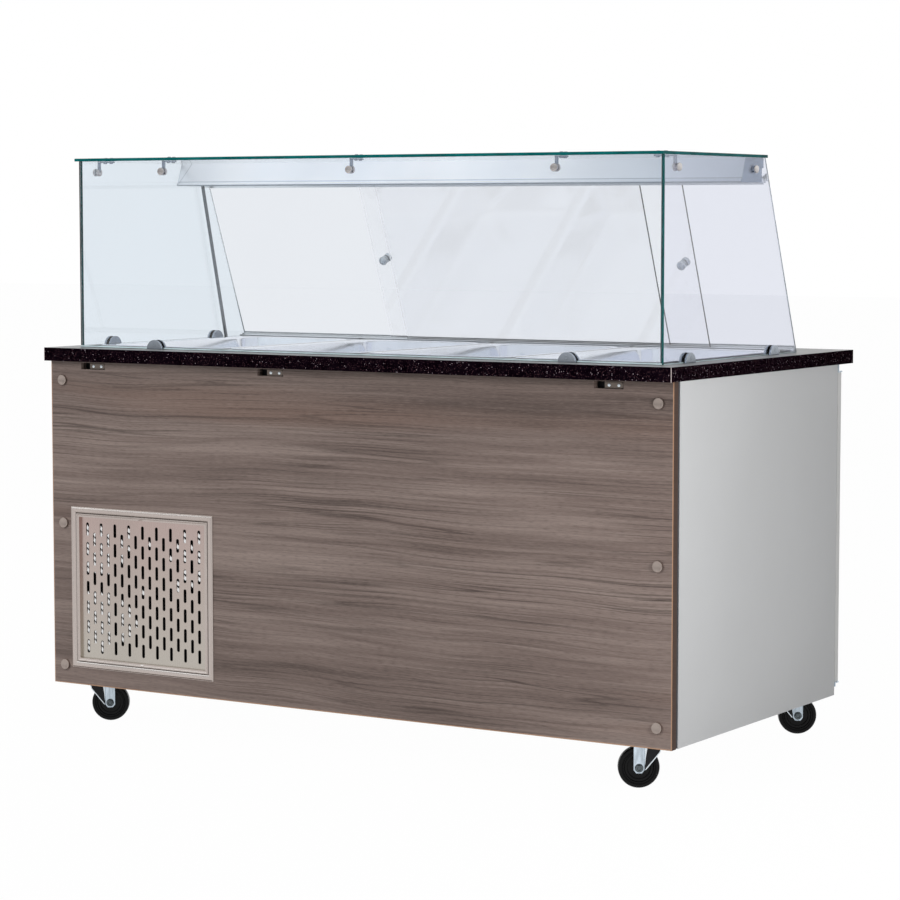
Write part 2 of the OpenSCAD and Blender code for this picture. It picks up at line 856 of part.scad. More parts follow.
// rocker, tilted to off, on two short pins
module rocker(x) {
  color([0.08, 0.08, 0.08]) {
    rod_x(rocker_y, ctl_z, x - rocker_w / 2 - rocker_pin_l, x + rocker_w / 2 + rocker_pin_l, rocker_pin_r);
    translate([x, rocker_y, ctl_z]) rotate([rocker_tilt, 0, 0])
      translate([-rocker_w / 2, 0, 0]) rotate([90, 0, 90]) linear_extrude(rocker_w)
        polygon([[-rocker_d / 2, -rocker_h / 4], [-rocker_d / 2, rocker_h / 4],
                 [rocker_d / 3, rocker_h / 2 - rocker_gap], [rocker_d / 2, rocker_h / 2 - rocker_gap],
                 [rocker_d / 3, 0], [rocker_d / 2, rocker_gap - rocker_h / 2],
                 [rocker_d / 3, rocker_gap - rocker_h / 2]]);
  }
}

module thermostat_dial() {
  y0 = door_y1 + fit_gap;
  color([0.1, 0.1, 0.1])
    difference() {
      union() {
        rod_y(dial_x, ctl_z, y0, y0 + dial_t / 4, dial_d / 2);
        rod_y(dial_x, ctl_z, y0, y0 + dial_t, dial_grip_r);
        rod_y(dial_x, ctl_z, box_y1 - dial_bore + seat_gap, y0 + eps, dial_shaft_r);
      }
      // pointer groove
      block([dial_x - pointer_w / 2, y0 + dial_t - pointer_w / 2, ctl_z],
            [dial_x + pointer_w / 2, y0 + dial_t + eps, ctl_z + dial_d]);
    }
}

// cupboard door with a pivot bore at each end of its outer edge
module rear_door(x0, x1, px) {
  color("whitesmoke")
    difference() {
      block([x0, door_y0, door_z0], [x1, door_y1, door_z1]);
      rod_z(px, pivot_y, door_z0 - eps, door_z0 + pivot_depth, pivot_r + run_gap);
      rod_z(px, pivot_y, door_z1 - pivot_depth, door_z1 + eps, pivot_r + run_gap);
    }
}
door_left_px = door_x0 + pivot_in;
door_right_px = base_x - pivot_in;

module door_pivots() {
  pin_l = pivot_depth - 1;
  color(zinc)
    for (px = [door_left_px, door_right_px]) {
      // upper arm and pin
      block([px - pivot_hw, base_y1, door_z1 + seat_gap], [px + pivot_hw, door_y1, door_z1 + seat_gap + pivot_plate]);
      block([px - pivot_hw, base_y1, door_z1 + seat_gap], [px + pivot_hw, base_y1 + pivot_plate, under_z - seat_gap]);
      rod_z(px, pivot_y, door_z1 - pin_l, door_z1 + seat_gap + eps, pivot_r);
      // lower arm and pin
      block([px - pivot_hw, base_y1, door_z0 - seat_gap - pivot_plate], [px + pivot_hw, door_y1, door_z0 - seat_gap]);
      block([px - pivot_hw, base_y1, frame_z], [px + pivot_hw, base_y1 + pivot_plate, door_z0 - seat_gap]);
      rod_z(px, pivot_y, door_z0 - seat_gap - eps, door_z0 + pin_l, pivot_r);
    }
}

// upright bow handle
module door_handle(x) {
  y = door_y1 + handle_gap + handle_d / 2;
  color(stainless) {
    rod_z(x, y, handle_z - handle_l / 2, handle_z + handle_l / 2, handle_d / 2);
    for (s = [-1, 1])
      rod_y(x, handle_z + s * (handle_l / 2 - handle_d), door_y1, y, handle_post_r);
  }
}

// ---- well and pans ----

module well_tub() {
  color(stainless)
    difference() {
      union() {
        translate([0, pan_yc, top_z])
          linear_extrude(flange_t) square([2 * (well_hx + flange_w), 2 * (well_hy + flange_w)], center = true);
        block([-well_hx - tub_t, pan_yc - well_hy - tub_t, tub_under], [well_hx + tub_t, pan_yc + well_hy + tub_t, top_z + eps]);
      }
      difference() {
        block([-well_hx, pan_yc - well_hy, tub_z], [well_hx, pan_yc + well_hy, flange_z + eps]);
        // ledges that carry the ends of the pan bars
        for (i = [1 : pan_count - 1], s = [-1, 1])
          translate([(i - pan_count / 2) * pan_pitch, pan_yc + s * (well_hy - ledge_d / 2), flange_z - bar_h - ledge_t / 2])
            cube([bar_hw, ledge_d + 2 * eps, ledge_t], center = true);
      }
      rod_z(drain_x, drain_y, tub_under - eps, tub_z + eps, drain_r - drain_wall);
    }
}

module well_insulation() {
  ox = well_hx + tub_t;
  oy = well_hy + tub_t;
  color("khaki")
    difference() {
      block([-ox - ins_t, pan_yc - oy - ins_t, ins_z], [ox + ins_t, pan_yc + oy + ins_t, under_z]);
      block([-ox, pan_yc - oy, tub_under], [ox, pan_yc + oy, under_z + eps]);
      block([coil_lip - ox, pan_yc - oy + coil_lip, tub_under - coil_gap], [ox - coil_lip, pan_yc + oy - coil_lip, tub_under + eps]);
      rod_z(drain_x, drain_y, ins_z - eps, tub_under + eps, drain_r + fit_gap);
      for (y = [coil_y0, coil_y1])
        rod_z(-coil_x, y, ins_z - eps, tub_under, pipe_r + fit_gap);
      // rebate round the top for the frame's flat leg
      difference() {
        block([-base_x, base_y0, under_z - angle_t - fit_gap], [base_x, base_y1, under_z + eps]);
        block([angle_leg + fit_gap - frame_x, frame_y0 + angle_leg + fit_gap, ins_z],
              [frame_x - angle_leg - fit_gap, base_y1 - angle_leg - fit_gap, top_z]);
      }
    }
}

// inverted channels between the pans
module pan_bars() {
  l = well_hy - fit_gap;
  color(stainless)
    for (i = [1 : pan_count - 1]) {
      x = (i - pan_count / 2) * pan_pitch;
      difference() {
        block([x - bar_hw, pan_yc - l, flange_z - bar_h], [x + bar_hw, pan_yc + l, flange_z]);
        block([x - bar_hw + bar_t, pan_yc - l + ledge_d, flange_z - bar_h - eps],
              [x + bar_hw - bar_t, pan_yc + l - ledge_d, flange_z - bar_t]);
      }
    }
}

// box with round upright edges whose four walls draw in towards its floor
module drawn_box(w, l, h, r) {
  intersection() {
    linear_extrude(h) round_rect(w, l, r);
    translate([-w / 2, 0, 0]) rotate([90, 0, 90]) linear_extrude(w)
      polygon([[pan_draft - l / 2, 0], [l / 2 - pan_draft, 0], [l / 2, h], [-l / 2, h]]);
    translate([0, l / 2, 0]) rotate([90, 0, 0]) linear_extrude(l)
      polygon([[pan_draft - w / 2, 0], [w / 2 - pan_draft, 0], [w / 2, h], [-w / 2, h]]);
  }
}

// full-size pan: a flat rim round a drawn body
module pan(i) {
  body_w = pan_w - 2 * rim_w;
  body_l = pan_l - 2 * rim_w;
  color("gainsboro")
    translate([(i - (pan_count - 1) / 2) * pan_pitch, pan_yc, pan_z0])
      difference() {
        union() {
          linear_extrude(rim_h) round_rect(pan_w, pan_l, rim_r);
          translate([0, 0, rim_h - pan_depth])
            drawn_box(body_w, body_l, pan_depth - eps, pan_r + pan_t);
        }
        translate([0, 0, rim_h - pan_depth + pan_t])
          drawn_box(body_w - 2 * pan_t, body_l - 2 * pan_t, pan_depth, pan_r);
      }
}

module drain_pipe() {
  color("goldenrod")
    difference() {
      union() {
        rod_z(drain_x, drain_y, drain_end, tub_under, drain_r);
        rod_z(drain_x, drain_y, valve_z - valve_h / 2, valve_z + valve_h / 2, valve_r);
        rod_y(drain_x, valve_z, drain_y, drain_y + valve_r + stem_l, stem_r + drain_wall);
      }
      rod_z(drain_x, drain_y, drain_end - eps, tub_under + eps, drain_r - drain_wall);
      rod_y(drain_x, valve_z, drain_y + valve_r + stem_l - stem_pin_l, drain_y + valve_r + stem_l + eps, stem_r + run_gap);
    }
}

// lever, crosswise to the pipe when shut
module drain_lever() {
  y = drain_y + valve_r + stem_l + seat_gap;
  color("firebrick") {
    rod_y(drain_x, valve_z, y - stem_pin_l, y + lever_t, stem_r);
    block([drain_x - lever_w / 2, y, valve_z - lever_w / 2], [drain_x + lever_l, y + lever_t, valve_z + lever_w / 2]);
  }
}

// ---- refrigeration unit ----

module compressor() {
  z0 = floor_z + comp_foot_h;
  color([0.12, 0.12, 0.13]) {
    for (x = [-1, 1], y = [-1, 1])
      rod_z(comp_x + x * comp_plate[0] * foot_spread, comp_y + y * comp_plate[1] * foot_spread, floor_z, z0 + eps, comp_foot_r);
    translate([comp_x - comp_plate[0] / 2, comp_y - comp_plate[1] / 2, z0]) cube(comp_plate);
    // drum with a domed lid
    translate([comp_x, comp_y, z0 + comp_plate[2] - eps])
      rotate_extrude()
        polygon([[0, 0], [comp_r, 0], [comp_r, comp_h * dome_from],
                 for (a = [10 : 16 : 90]) [comp_r * cos(a), comp_h * (dome_from + (1 - dome_from) * sin(a))]]);
    for (s = [-1, 1])
      rod_z(comp_x + s * port_x, comp_y, comp_top - comp_h / 3, port_top, port_r);
  }
}

// finned block in a sheet casing; the fins' front edges form a zigzag
module condenser() {
  n = floor(2 * (cond_hw - cond_plate) / fin_pitch);
  x0 = grille_cx - n * fin_pitch / 2;
  color([0.8, 0.82, 0.85]) {
    for (x = [grille_cx - cond_hw, grille_cx + cond_hw - cond_plate])
      block([x, cond_y0, floor_z], [x + cond_plate, cond_y1, floor_z + cond_h]);
    for (z = [floor_z, floor_z + cond_h - cond_plate])
      block([grille_cx - cond_hw, cond_y0, z], [grille_cx + cond_hw, cond_y1, z + cond_plate]);
    translate([0, 0, floor_z + eps])
      linear_extrude(cond_h - 2 * eps)
        polygon([[grille_cx - cond_hw + eps, cond_y1 - eps], [grille_cx - cond_hw + eps, cond_y0 + fin_depth],
                 for (i = [0 : n - 1], k = [0, 1])
                   [x0 + (i + k / 2) * fin_pitch, cond_y0 + (k == 0 ? fin_depth : eps)],
                 [grille_cx + cond_hw - eps, cond_y0 + fin_depth], [grille_cx + cond_hw - eps, cond_y1 - eps]]);
  }
}

// square plate with a round throat, and spokes that carry the motor
module fan_shroud() {
  y1 = cond_y1 + shroud_d;
  throat = fan_r + pass_gap * 3;
  spoke_y = motor_y0 + motor_l / 3;
  color([0.25, 0.26, 0.28])
    difference() {
      union() {
        block([grille_cx - cond_hw, cond_y1, floor_z], [grille_cx + cond_hw, cond_y1 + shroud_t, floor_z + cond_h]);
        rod_y(grille_cx, cond_zc, cond_y1, y1, throat + shroud_t);
        for (s = [-1, 1])
          block([grille_cx + s * throat - spoke_w / 2, y1 - shroud_t, cond_zc - spoke_w / 2],
                [grille_cx + s * throat + spoke_w / 2, spoke_y + spoke_w, cond_zc + spoke_w / 2]);
        block([grille_cx - throat, spoke_y, cond_zc - spoke_w / 2], [grille_cx + throat, spoke_y + spoke_w, cond_zc + spoke_w / 2]);
        rod_y(grille_cx, cond_zc, spoke_y, spoke_y + spoke_w, motor_r + spoke_w);
      }
      rod_y(grille_cx, cond_zc, cond_y1 - eps, y1, throat);
      rod_y(grille_cx, cond_zc, spoke_y - eps, spoke_y + spoke_w + eps, motor_r + seat_gap);
    }
}

module fan() {
  color("black")
    translate([grille_cx, fan_y0, cond_zc]) rotate([-90, 0, 0])
      difference() {
        union() {
          cylinder(r = fan_hub_r, h = fan_h);
          intersection() {
            cylinder(r = fan_r, h = fan_h);
            for (i = [0 : blade_count - 1])
              rotate(i * 360 / blade_count) translate([0, 0, fan_h / 2]) rotate([blade_pitch, 0, 0])
                translate([fan_hub_r / 2, -blade_w / 2, -blade_t / 2]) cube([fan_r, blade_w, blade_t]);
          }
        }
        translate([0, 0, fan_h / 3]) cylinder(r = motor_shaft_r + run_gap, h = fan_h);
      }
}

module fan_motor() {
  color("gray") {
    rod_y(grille_cx, cond_zc, motor_y0, motor_y0 + motor_l, motor_r);
    rod_y(grille_cx, cond_zc, fan_y0 + fan_h / 3 + seat_gap, motor_y0 + eps, motor_shaft_r);
  }
}

// run from the condenser up to the coil under the well and back down to the compressor,
// and the discharge line from the compressor to the condenser
module refrigerant_pipes() {
  cy = (cond_y0 + cond_y1) / 2;
  high = floor_z + cond_h + pipe_rise;
  low = port_top + pipe_loop;
  cond_top = floor_z + cond_h + seat_gap;
  coil = [for (i = [0 : coil_runs - 1], k = [0, 1])
            [(i % 2 == k ? -1 : 1) * coil_x, coil_y0 + i * coil_pitch, coil_z]];
  color("peru") {
    pipe(concat([[-coil_x, cy, cond_top], [-coil_x, cy, high], [-coil_x, coil_y0, high]], coil,
                [[-coil_x, coil_y1, low], [comp_x - port_x, coil_y1, low],
                 [comp_x - port_x, comp_y, low], [comp_x - port_x, comp_y, port_top + seat_gap]]), pipe_r);
    pipe([[comp_x + port_x, comp_y, port_top + seat_gap], [comp_x + port_x, comp_y, high],
          [comp_x + port_x, cy, high], [comp_x + port_x, cy, cond_top]], pipe_r);
  }
}

// ---- glass guard ----

module front_glass() {
  color(glass_tint)
    difference() {
      block([-glass_x, glass_y0, top_z], [glass_x, glass_yi, glass_z1]);
      for (x = [-clamp_x, clamp_x])
        rod_y(x, clamp_bolt_z, glass_y0 - eps, glass_yi + eps, bolt_hole_r);
      for (x = bracket_xs)
        rod_y(x, boss_z, glass_y0 - eps, glass_yi + eps, bolt_hole_r);
    }
}

// glass with a sloped rear edge
module end_glass(side) {
  color(glass_tint)
    mirror([side < 0 ? 1 : 0, 0, 0])
      difference() {
        run_x(glass_in, glass_x)
          polygon([[glass_yi + fit_gap, top_z], [foot_y1, top_z], [head_y1, glass_z1], [glass_yi + fit_gap, glass_z1]]);
        for (y = side_clamp_ys)
          rod_x(y, clamp_bolt_z, glass_in - eps, glass_x + eps, bolt_hole_r);
        rod_x(bracket_y, boss_z, glass_in - eps, glass_x + eps, bolt_hole_r);
        rod_x(canopy_screw_y, canopy_screw_z, glass_in - eps, glass_x + eps, bolt_hole_r);
      }
}

module top_glass() {
  color(glass_tint)
    difference() {
      block([-glass_x - top_glass_lap, glass_y0 - top_glass_nose, glass_z1],
            [glass_x + top_glass_lap, head_y1, glass_z1 + glass_t]);
      for (x = bracket_xs, s = arm_screws)
        rod_z(x, glass_yi + s, glass_z1 - eps, glass_z1 + glass_t + eps, arm_screw_r + seat_gap);
      for (side = [-1, 1], s = arm_screws)
        rod_z(side * (glass_in - s), bracket_y, glass_z1 - eps, glass_z1 + glass_t + eps, arm_screw_r + seat_gap);
    }
}

// two half-moons and the bolt between them; the glass lies in the YZ plane at x = 0
module foot_clamp() {
  for (s = [-1, 1])
    translate([s * (glass_t / 2 + seat_gap + clamp_t / 2), 0, 0])
      intersection() {
        rotate([0, 90, 0]) cylinder(r = clamp_r, h = clamp_t, center = true);
        translate([-clamp_t, -clamp_r, 0]) cube([2 * clamp_t, 2 * clamp_r, clamp_r]);
      }
  translate([-glass_t / 2 - clamp_t, 0, clamp_bolt_z - top_z])
    rotate([0, 90, 0]) cylinder(r = bolt_r, h = glass_t + 2 * clamp_t);
}

module foot_clamps() {
  color("slategray") {
    for (x = [-clamp_x, clamp_x])
      translate([x, (glass_y0 + glass_yi) / 2, top_z]) rotate(90) foot_clamp();
    for (side = [-1, 1], y = side_clamp_ys)
      translate([side * (glass_in + glass_x) / 2, y, top_z]) foot_clamp();
  }
}

// boss through the glass, stem and arm; the glass lies in the XZ plane, its inner face at y = 0,
// and z = 0 is the underside of the top glass
module glass_bracket() {
  // bosses on both faces of the glass, and the bolt between them
  rod_y(0, -boss_drop, -glass_t - seat_gap - boss_t, -glass_t - seat_gap, boss_d / 2);
  rod_y(0, -boss_drop, -glass_t - boss_t, boss_t, bolt_r);
  rod_y(0, -boss_drop, seat_gap, seat_gap + boss_t, boss_d / 2);
  block([-stem_w / 2, seat_gap, -boss_drop], [stem_w / 2, seat_gap + stem_w, -seat_gap]);
  block([-arm_w / 2, seat_gap, -seat_gap - arm_t], [arm_w / 2, arm_l, -seat_gap]);
  for (s = arm_screws) {
    rod_z(0, s, -seat_gap - arm_t - arm_head_h, glass_t + seat_gap + eps, arm_screw_r);
    rod_z(0, s, -seat_gap - arm_t - arm_head_h, -seat_gap - arm_t + eps, arm_head_r);
    rod_z(0, s, glass_t + seat_gap, glass_t + seat_gap + arm_head_h, arm_head_r);
  }
}

module glass_brackets() {
  color("lightslategray") {
    for (x = bracket_xs)
      translate([x, glass_yi, glass_z1]) glass_bracket();
    for (side = [-1, 1])
      translate([side * glass_in, bracket_y, glass_z1]) rotate(side * 90) glass_bracket();
    // screws that hold the canopy's ends
    for (side = [-1, 1])
      mirror([side < 0 ? 1 : 0, 0, 0]) {
        rod_x(canopy_screw_y, canopy_screw_z, glass_x + seat_gap, glass_x + seat_gap + boss_t, boss_d / 2);
        rod_x(canopy_screw_y, canopy_screw_z, canopy_x - canopy_t - seat_gap - canopy_nut_t, glass_x + boss_t, canopy_screw_r);
        rod_x(canopy_screw_y, canopy_screw_z, canopy_x - canopy_t - seat_gap - canopy_nut_t,
              canopy_x - canopy_t - seat_gap, canopy_nut_r);
      }
  }
}

// section of the canopy: leaning front, stepped back
canopy_z1 = glass_z1 - seat_gap;
canopy_front_low = canopy_y1 - canopy_low_d;
canopy_front_top = canopy_front_low + canopy_low_d + canopy_step - canopy_top_d;
module canopy_section() {
  polygon([[canopy_front_low, canopy_low_z], [canopy_y1, canopy_low_z],
           [canopy_y1, canopy_z1 - canopy_step_z], [canopy_y1 + canopy_step, canopy_z1 - canopy_step_z],
           [canopy_y1 + canopy_step, canopy_z1], [canopy_front_top, canopy_z1]]);
}

// the same section, one sheet thickness inside, open below between two lips
module canopy_hollow() {
  lean_t = canopy_t * norm([canopy_front_top - canopy_front_low, canopy_h]) / canopy_h;
  polygon([[canopy_front_low + lean_t, canopy_low_z + canopy_t], [canopy_y1 - canopy_t, canopy_low_z + canopy_t],
           [canopy_y1 - canopy_t, canopy_z1 - canopy_step_z + canopy_t],
           [canopy_y1 + canopy_step - canopy_t, canopy_z1 - canopy_step_z + canopy_t],
           [canopy_y1 + canopy_step - canopy_t, canopy_z1 - canopy_t], [canopy_front_top + lean_t, canopy_z1 - canopy_t]]);
}

module light_canopy() {
  color("lightsteelblue")
    difference() {
      union() {
        run_x(-canopy_x, canopy_x) canopy_section();
        // hem along the lower front edge
        block([-canopy_x, canopy_front_low - canopy_t, canopy_low_z],
              [canopy_x, canopy_front_low + canopy_t, canopy_low_z + canopy_hem]);
      }
      run_x(canopy_t - canopy_x, canopy_x - canopy_t) canopy_hollow();
      block([canopy_t - canopy_x, canopy_front_low + canopy_lip, canopy_low_z - eps],
            [canopy_x - canopy_t, canopy_y1 - canopy_lip, canopy_low_z + 2 * canopy_t]);
      for (side = [-1, 1])
        rod_x(canopy_screw_y, canopy_screw_z, side * canopy_x - 2 * canopy_t, side * canopy_x + 2 * canopy_t,
              canopy_screw_r + seat_gap);
    }
}

// light bar under the canopy's top
module lamp() {
  y = (canopy_front_top + canopy_y1) / 2;
  color("white")
    block([-lamp_hl, y - lamp_w / 2, canopy_z1 - canopy_t - lamp_h], [lamp_hl, y + lamp_w / 2, canopy_z1 - canopy_t]);
}

// leaning tube that takes the lamp's lead down through the worktop
module conduit_post() {
  d = post_d / 2;
  color("gray")
    run_x(-post_x - post_w / 2, -post_x + post_w / 2)
      polygon([[post_top_y - d, canopy_low_z], [post_top_y + d, canopy_low_z], [post_foot_y + d, top_z], [post_foot_y - d, top_z]]);
}

// three walls of a double track
module track_walls(u0, u1) {
  slope_rect(track_gap, track_gap + track_t, u0, u1);
  slope_rect(track_mid, track_mid + track_t, u0, u1);
  slope_rect(track_n1, track_n1 + track_t, u0, u1);
}

module door_tracks() {
  x = glass_in - seat_gap;
  top_u = track_top_u;
  boss_n = track_n1 + track_t / 2;
  boss_z0 = canopy_low_z + boss_rise;
  boss_z1 = canopy_low_z + track_wall_u / 2;
  color("lightgray") {
    // lower track, standing on the worktop
    run_x(-x, x)
      difference() {
        union() {
          track_walls(0, track_wall_u);
          polygon([track_point(track_n1 + track_t, top_z), track_point(track_gap, top_z),
                   track_point(track_gap, top_z + track_base), track_point(track_n1 + track_t, top_z + track_base)]);
        }
        polygon([[y_front, top_z - top_t], [y_back, top_z - top_t], [y_back, top_z], [y_front, top_z]]);
      }
    // upper track, on the canopy's back
    run_x(-x, x)
      difference() {
        union() {
          track_walls(top_u - track_wall_u, top_u + track_t);
          slope_rect(track_gap, track_n1 + track_t, top_u, top_u + track_t);
          polygon([[canopy_y1 + eps, boss_z0], track_point(boss_n, boss_z0),
                   track_point(boss_n, boss_z1), [canopy_y1 + eps, boss_z1]]);
        }
        polygon([[y_front, canopy_low_z - canopy_h], [canopy_y1, canopy_low_z - canopy_h],
                 [canopy_y1, glass_z1], [y_front, glass_z1]]);
      }
  }
}

// sliding door: outer face at n0, left edge at x0, bored for its knob at xk
module sliding_door(n0, x0, w, xk) {
  n1 = n0 + door_glass_t;
  k = slope((n0 + n1) / 2, knob_rise);
  color(glass_tint)
    difference() {
      run_x(x0, x0 + w) slope_rect(n0, n1, door_u0(n1), track_top_u - seat_gap);
      translate([xk, k[0], k[1]]) rotate([-90 + lean, 0, 0])
        cylinder(r = knob_pin_r + seat_gap, h = 4 * door_glass_t, center = true);
    }
}

// spool-shaped knob on both faces of a door
module door_knob(n0, xk) {
  k = slope(n0 + door_glass_t / 2, knob_rise);
  half = door_glass_t / 2;
  color("silver")
    translate([xk, k[0], k[1]]) rotate([-90 + lean, 0, 0]) {
      cylinder(r = knob_pin_r, h = 2 * (half + knob_reach) - knob_disc_t, center = true);
      for (s = [-1, 1]) {
        translate([0, 0, s * (half + seat_gap + (knob_reach - seat_gap) / 2)])
          cylinder(r = knob_neck_r, h = knob_reach - seat_gap, center = true);
        translate([0, 0, s * (half + knob_reach - knob_disc_t / 2)])
          cylinder(r = knob_d / 2, h = knob_disc_t, center = true);
      }
    }
}
left_slide_w = right_slide_w - left_slide_less;
left_knob_x = knob_inset - left_door_x;
right_knob_x = right_slide_w - right_door_x - knob_inset;

// ---- castors ----

module castor_plates() {
  color(zinc)
    for (c = castors)
      translate([c[0], c[1], 0]) {
        translate([-plate_hw, -plate_hw, castor_h - plate_t]) cube([2 * plate_hw, 2 * plate_hw, plate_t]);
        rod_z(0, 0, race_gap_z, castor_h - eps, race_r);
        rod_z(0, 0, crown_z - seat_gap - king_head_h, castor_h - eps, king_r);
        rod_z(0, 0, crown_z - seat_gap - king_head_h, crown_z - seat_gap, king_head_r);
        for (bx = [-1, 1], by = [-1, 1])
          rod_z(bx * plate_bolt, by * plate_bolt, castor_h - plate_t - plate_bolt_h, castor_h - eps, plate_bolt_r);
      }
}

// pressed fork with its axle bolt; swivel axis at the origin, axle at x = trail
module fork() {
  z = wheel_r;
  half = fork_in + fork_t;
  axle_y = half + run_gap;
  difference() {
    union() {
      // legs: straight strip over the axle, web slanting to the crown
      for (s = [0, 1])
        mirror([0, s, 0])
          translate([trail, half, 0]) rotate([90, 0, 0]) linear_extrude(fork_t)
            polygon(concat([[fork_strip, z - fork_strip / 2], [fork_strip, 2 * z]], fork_web,
                           [[-fork_strip / 2, z - fork_strip], [fork_strip / 2, z - fork_strip]]));
      intersection() {
        union() {
          rod_z(0, 0, crown_z, crown_z + crown_t, crown_r);
          block([-trail / 2, -half, crown_z], [crown_r, half, crown_z + crown_t]);
        }
        block([-crown_r, -half, crown_z - eps], [crown_r + eps, half, castor_h]);
      }
      rod_z(0, 0, crown_z + eps, race_gap_z - seat_gap, king_head_r * 2);
    }
    rod_z(0, 0, crown_z - crown_t, castor_h, king_r + run_gap);
    // pressed groove between strip and web
    for (s = [-1, 1])
      block([trail + groove_x[0], s * half - 1, z + groove_in], [trail + groove_x[1], s * half + 1, crown_z - groove_in]);
    rod_y(trail, z, -2 * half, 2 * half, axle_r + fork_hole_gap);
  }
  // axle bolt, its head and its nut
  rod_y(trail, z, -axle_y - bolt_head_t, axle_y + bolt_head_t + nut_more, axle_r);
  for (s = [-1, 1])
    translate([trail, s * (axle_y + bolt_head_t / 2), z]) rotate([90, 0, 0])
      cylinder(d = bolt_head_af * 2 / sqrt(3), h = bolt_head_t, center = true, $fn = 6);
}

// wheel with stepped rings on both faces; axle at x = trail
module wheel() {
  h = wheel_w / 2;
  boss = h + fork_gap - seat_gap * 2;
  corner = 3;
  side = [[axle_r + run_gap, boss], [11, boss], [12, h - 4], [22, h - 5.5], [23, h - 3], [28, h - 2], [29, h - 1]];
  tread = [for (a = [90 : -22.5 : 0]) [wheel_r - corner + corner * cos(a), h - corner + corner * sin(a)]];
  half_profile = concat(side, tread);
  n = len(half_profile);
  translate([trail, 0, wheel_r]) rotate([90, 0, 0])
    rotate_extrude($fn = 72)
      polygon(concat(half_profile, [for (i = [n - 1 : -1 : 0]) [half_profile[i][0], -half_profile[i][1]]]));
}

// place for one of the castors
module at_castor(i) {
  translate([castors[i][0], castors[i][1], 0]) rotate(castors[i][2]) children();
}

module castor_fork(i) {
  color(zinc) at_castor(i) fork();
}

module castor_wheel(i) {
  color([0.06, 0.06, 0.06]) at_castor(i) wheel();
}

worktop();
edge_band();
front_panel();
panel_caps();
tray_brackets();
vent_grille();
end_panel(-1);  // end_panel_left
end_panel(1);  // end_panel_right
chassis_frame();
base_floor();
bay_divider();
shelf();
service_panel();
control_box();
rocker(power_x);  // power_switch
rocker(light_x);  // light_switch
thermostat_dial();
rear_door(door_x0, door_xm - door_gap / 2, door_left_px);  // rear_door_left
rear_door(door_xm + door_gap / 2, base_x, door_right_px);  // rear_door_right
door_pivots();
door_handle(door_xm - handle_inset);  // door_handle_left
door_handle(door_xm + handle_inset);  // door_handle_right
well_tub();
well_insulation();
pan_bars();
pan(0);  // pan_1
pan(1);  // pan_2
pan(2);  // pan_3
pan(3);  // pan_4
drain_pipe();
drain_lever();
compressor();
condenser();
fan_shroud();
fan();
fan_motor();
refrigerant_pipes();
front_glass();
end_glass(-1);  // end_glass_left
end_glass(1);  // end_glass_right
top_glass();
foot_clamps();
glass_brackets();
light_canopy();
lamp();
conduit_post();
door_tracks();
sliding_door(door_a_n, -left_door_x, left_slide_w, left_knob_x);  // sliding_door_left
sliding_door(door_b_n, -right_door_x, right_slide_w, right_knob_x);  // sliding_door_right
door_knob(door_a_n, left_knob_x);  // door_knob_left
door_knob(door_b_n, right_knob_x);  // door_knob_right
castor_plates();
castor_fork(0);  // castor_fork_front_left
castor_fork(1);  // castor_fork_front_right
castor_fork(2);  // castor_fork_rear_left
castor_fork(3);  // castor_fork_rear_right
castor_wheel(0);  // wheel_front_left
castor_wheel(1);  // wheel_front_right
castor_wheel(2);  // wheel_rear_left
castor_wheel(3);  // wheel_rear_right
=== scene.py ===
import json
import math
import bmesh
import bpy
import numpy as np
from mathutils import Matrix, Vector

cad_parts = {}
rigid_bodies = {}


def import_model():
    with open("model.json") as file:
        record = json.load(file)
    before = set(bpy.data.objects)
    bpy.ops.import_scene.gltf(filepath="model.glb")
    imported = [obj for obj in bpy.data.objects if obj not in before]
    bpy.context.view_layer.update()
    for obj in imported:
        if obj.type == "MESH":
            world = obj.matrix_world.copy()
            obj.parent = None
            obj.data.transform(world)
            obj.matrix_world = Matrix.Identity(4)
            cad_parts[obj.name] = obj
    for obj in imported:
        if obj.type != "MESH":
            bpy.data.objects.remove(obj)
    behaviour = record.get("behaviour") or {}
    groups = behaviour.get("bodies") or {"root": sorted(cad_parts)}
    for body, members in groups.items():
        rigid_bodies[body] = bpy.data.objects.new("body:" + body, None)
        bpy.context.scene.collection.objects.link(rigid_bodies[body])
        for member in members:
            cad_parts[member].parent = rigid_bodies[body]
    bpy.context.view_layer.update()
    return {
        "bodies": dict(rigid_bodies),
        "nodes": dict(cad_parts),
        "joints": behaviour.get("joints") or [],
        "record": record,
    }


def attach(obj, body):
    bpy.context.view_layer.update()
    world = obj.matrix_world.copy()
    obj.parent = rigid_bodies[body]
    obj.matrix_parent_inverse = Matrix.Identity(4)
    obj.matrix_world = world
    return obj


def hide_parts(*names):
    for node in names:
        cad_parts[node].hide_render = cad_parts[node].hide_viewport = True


# Mobile salad bar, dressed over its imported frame. Metres, +Z up, the customer stands at -Y.

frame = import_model()
nodes = frame["nodes"]
mm = 0.001
print("frame:", len(nodes), "CAD nodes")


# helpers for shader nodes

def tone(red, green, blue):  # a colour read as 0 to 255 on screen, as linear light
    screen = np.array([red, green, blue]) / 255
    light = np.where(screen <= 0.04045, screen / 12.92, ((screen + 0.055) / 1.055) ** 2.4)
    return (*[float(v) for v in light], 1.0)


def scaled(colour, factor):
    return tuple(min(1.0, c * factor) for c in colour[:3]) + (1.0,)


def plug(tree, socket, value):
    if isinstance(value, bpy.types.NodeSocket):
        tree.links.new(value, socket)
    else:
        socket.default_value = value


def addNode(tree, kind, sockets=None, **settings):
    node = tree.nodes.new("ShaderNode" + kind)
    for key, value in settings.items():
        setattr(node, key, value)
    for key, value in (sockets or {}).items():
        plug(tree, node.inputs[key], value)
    return node


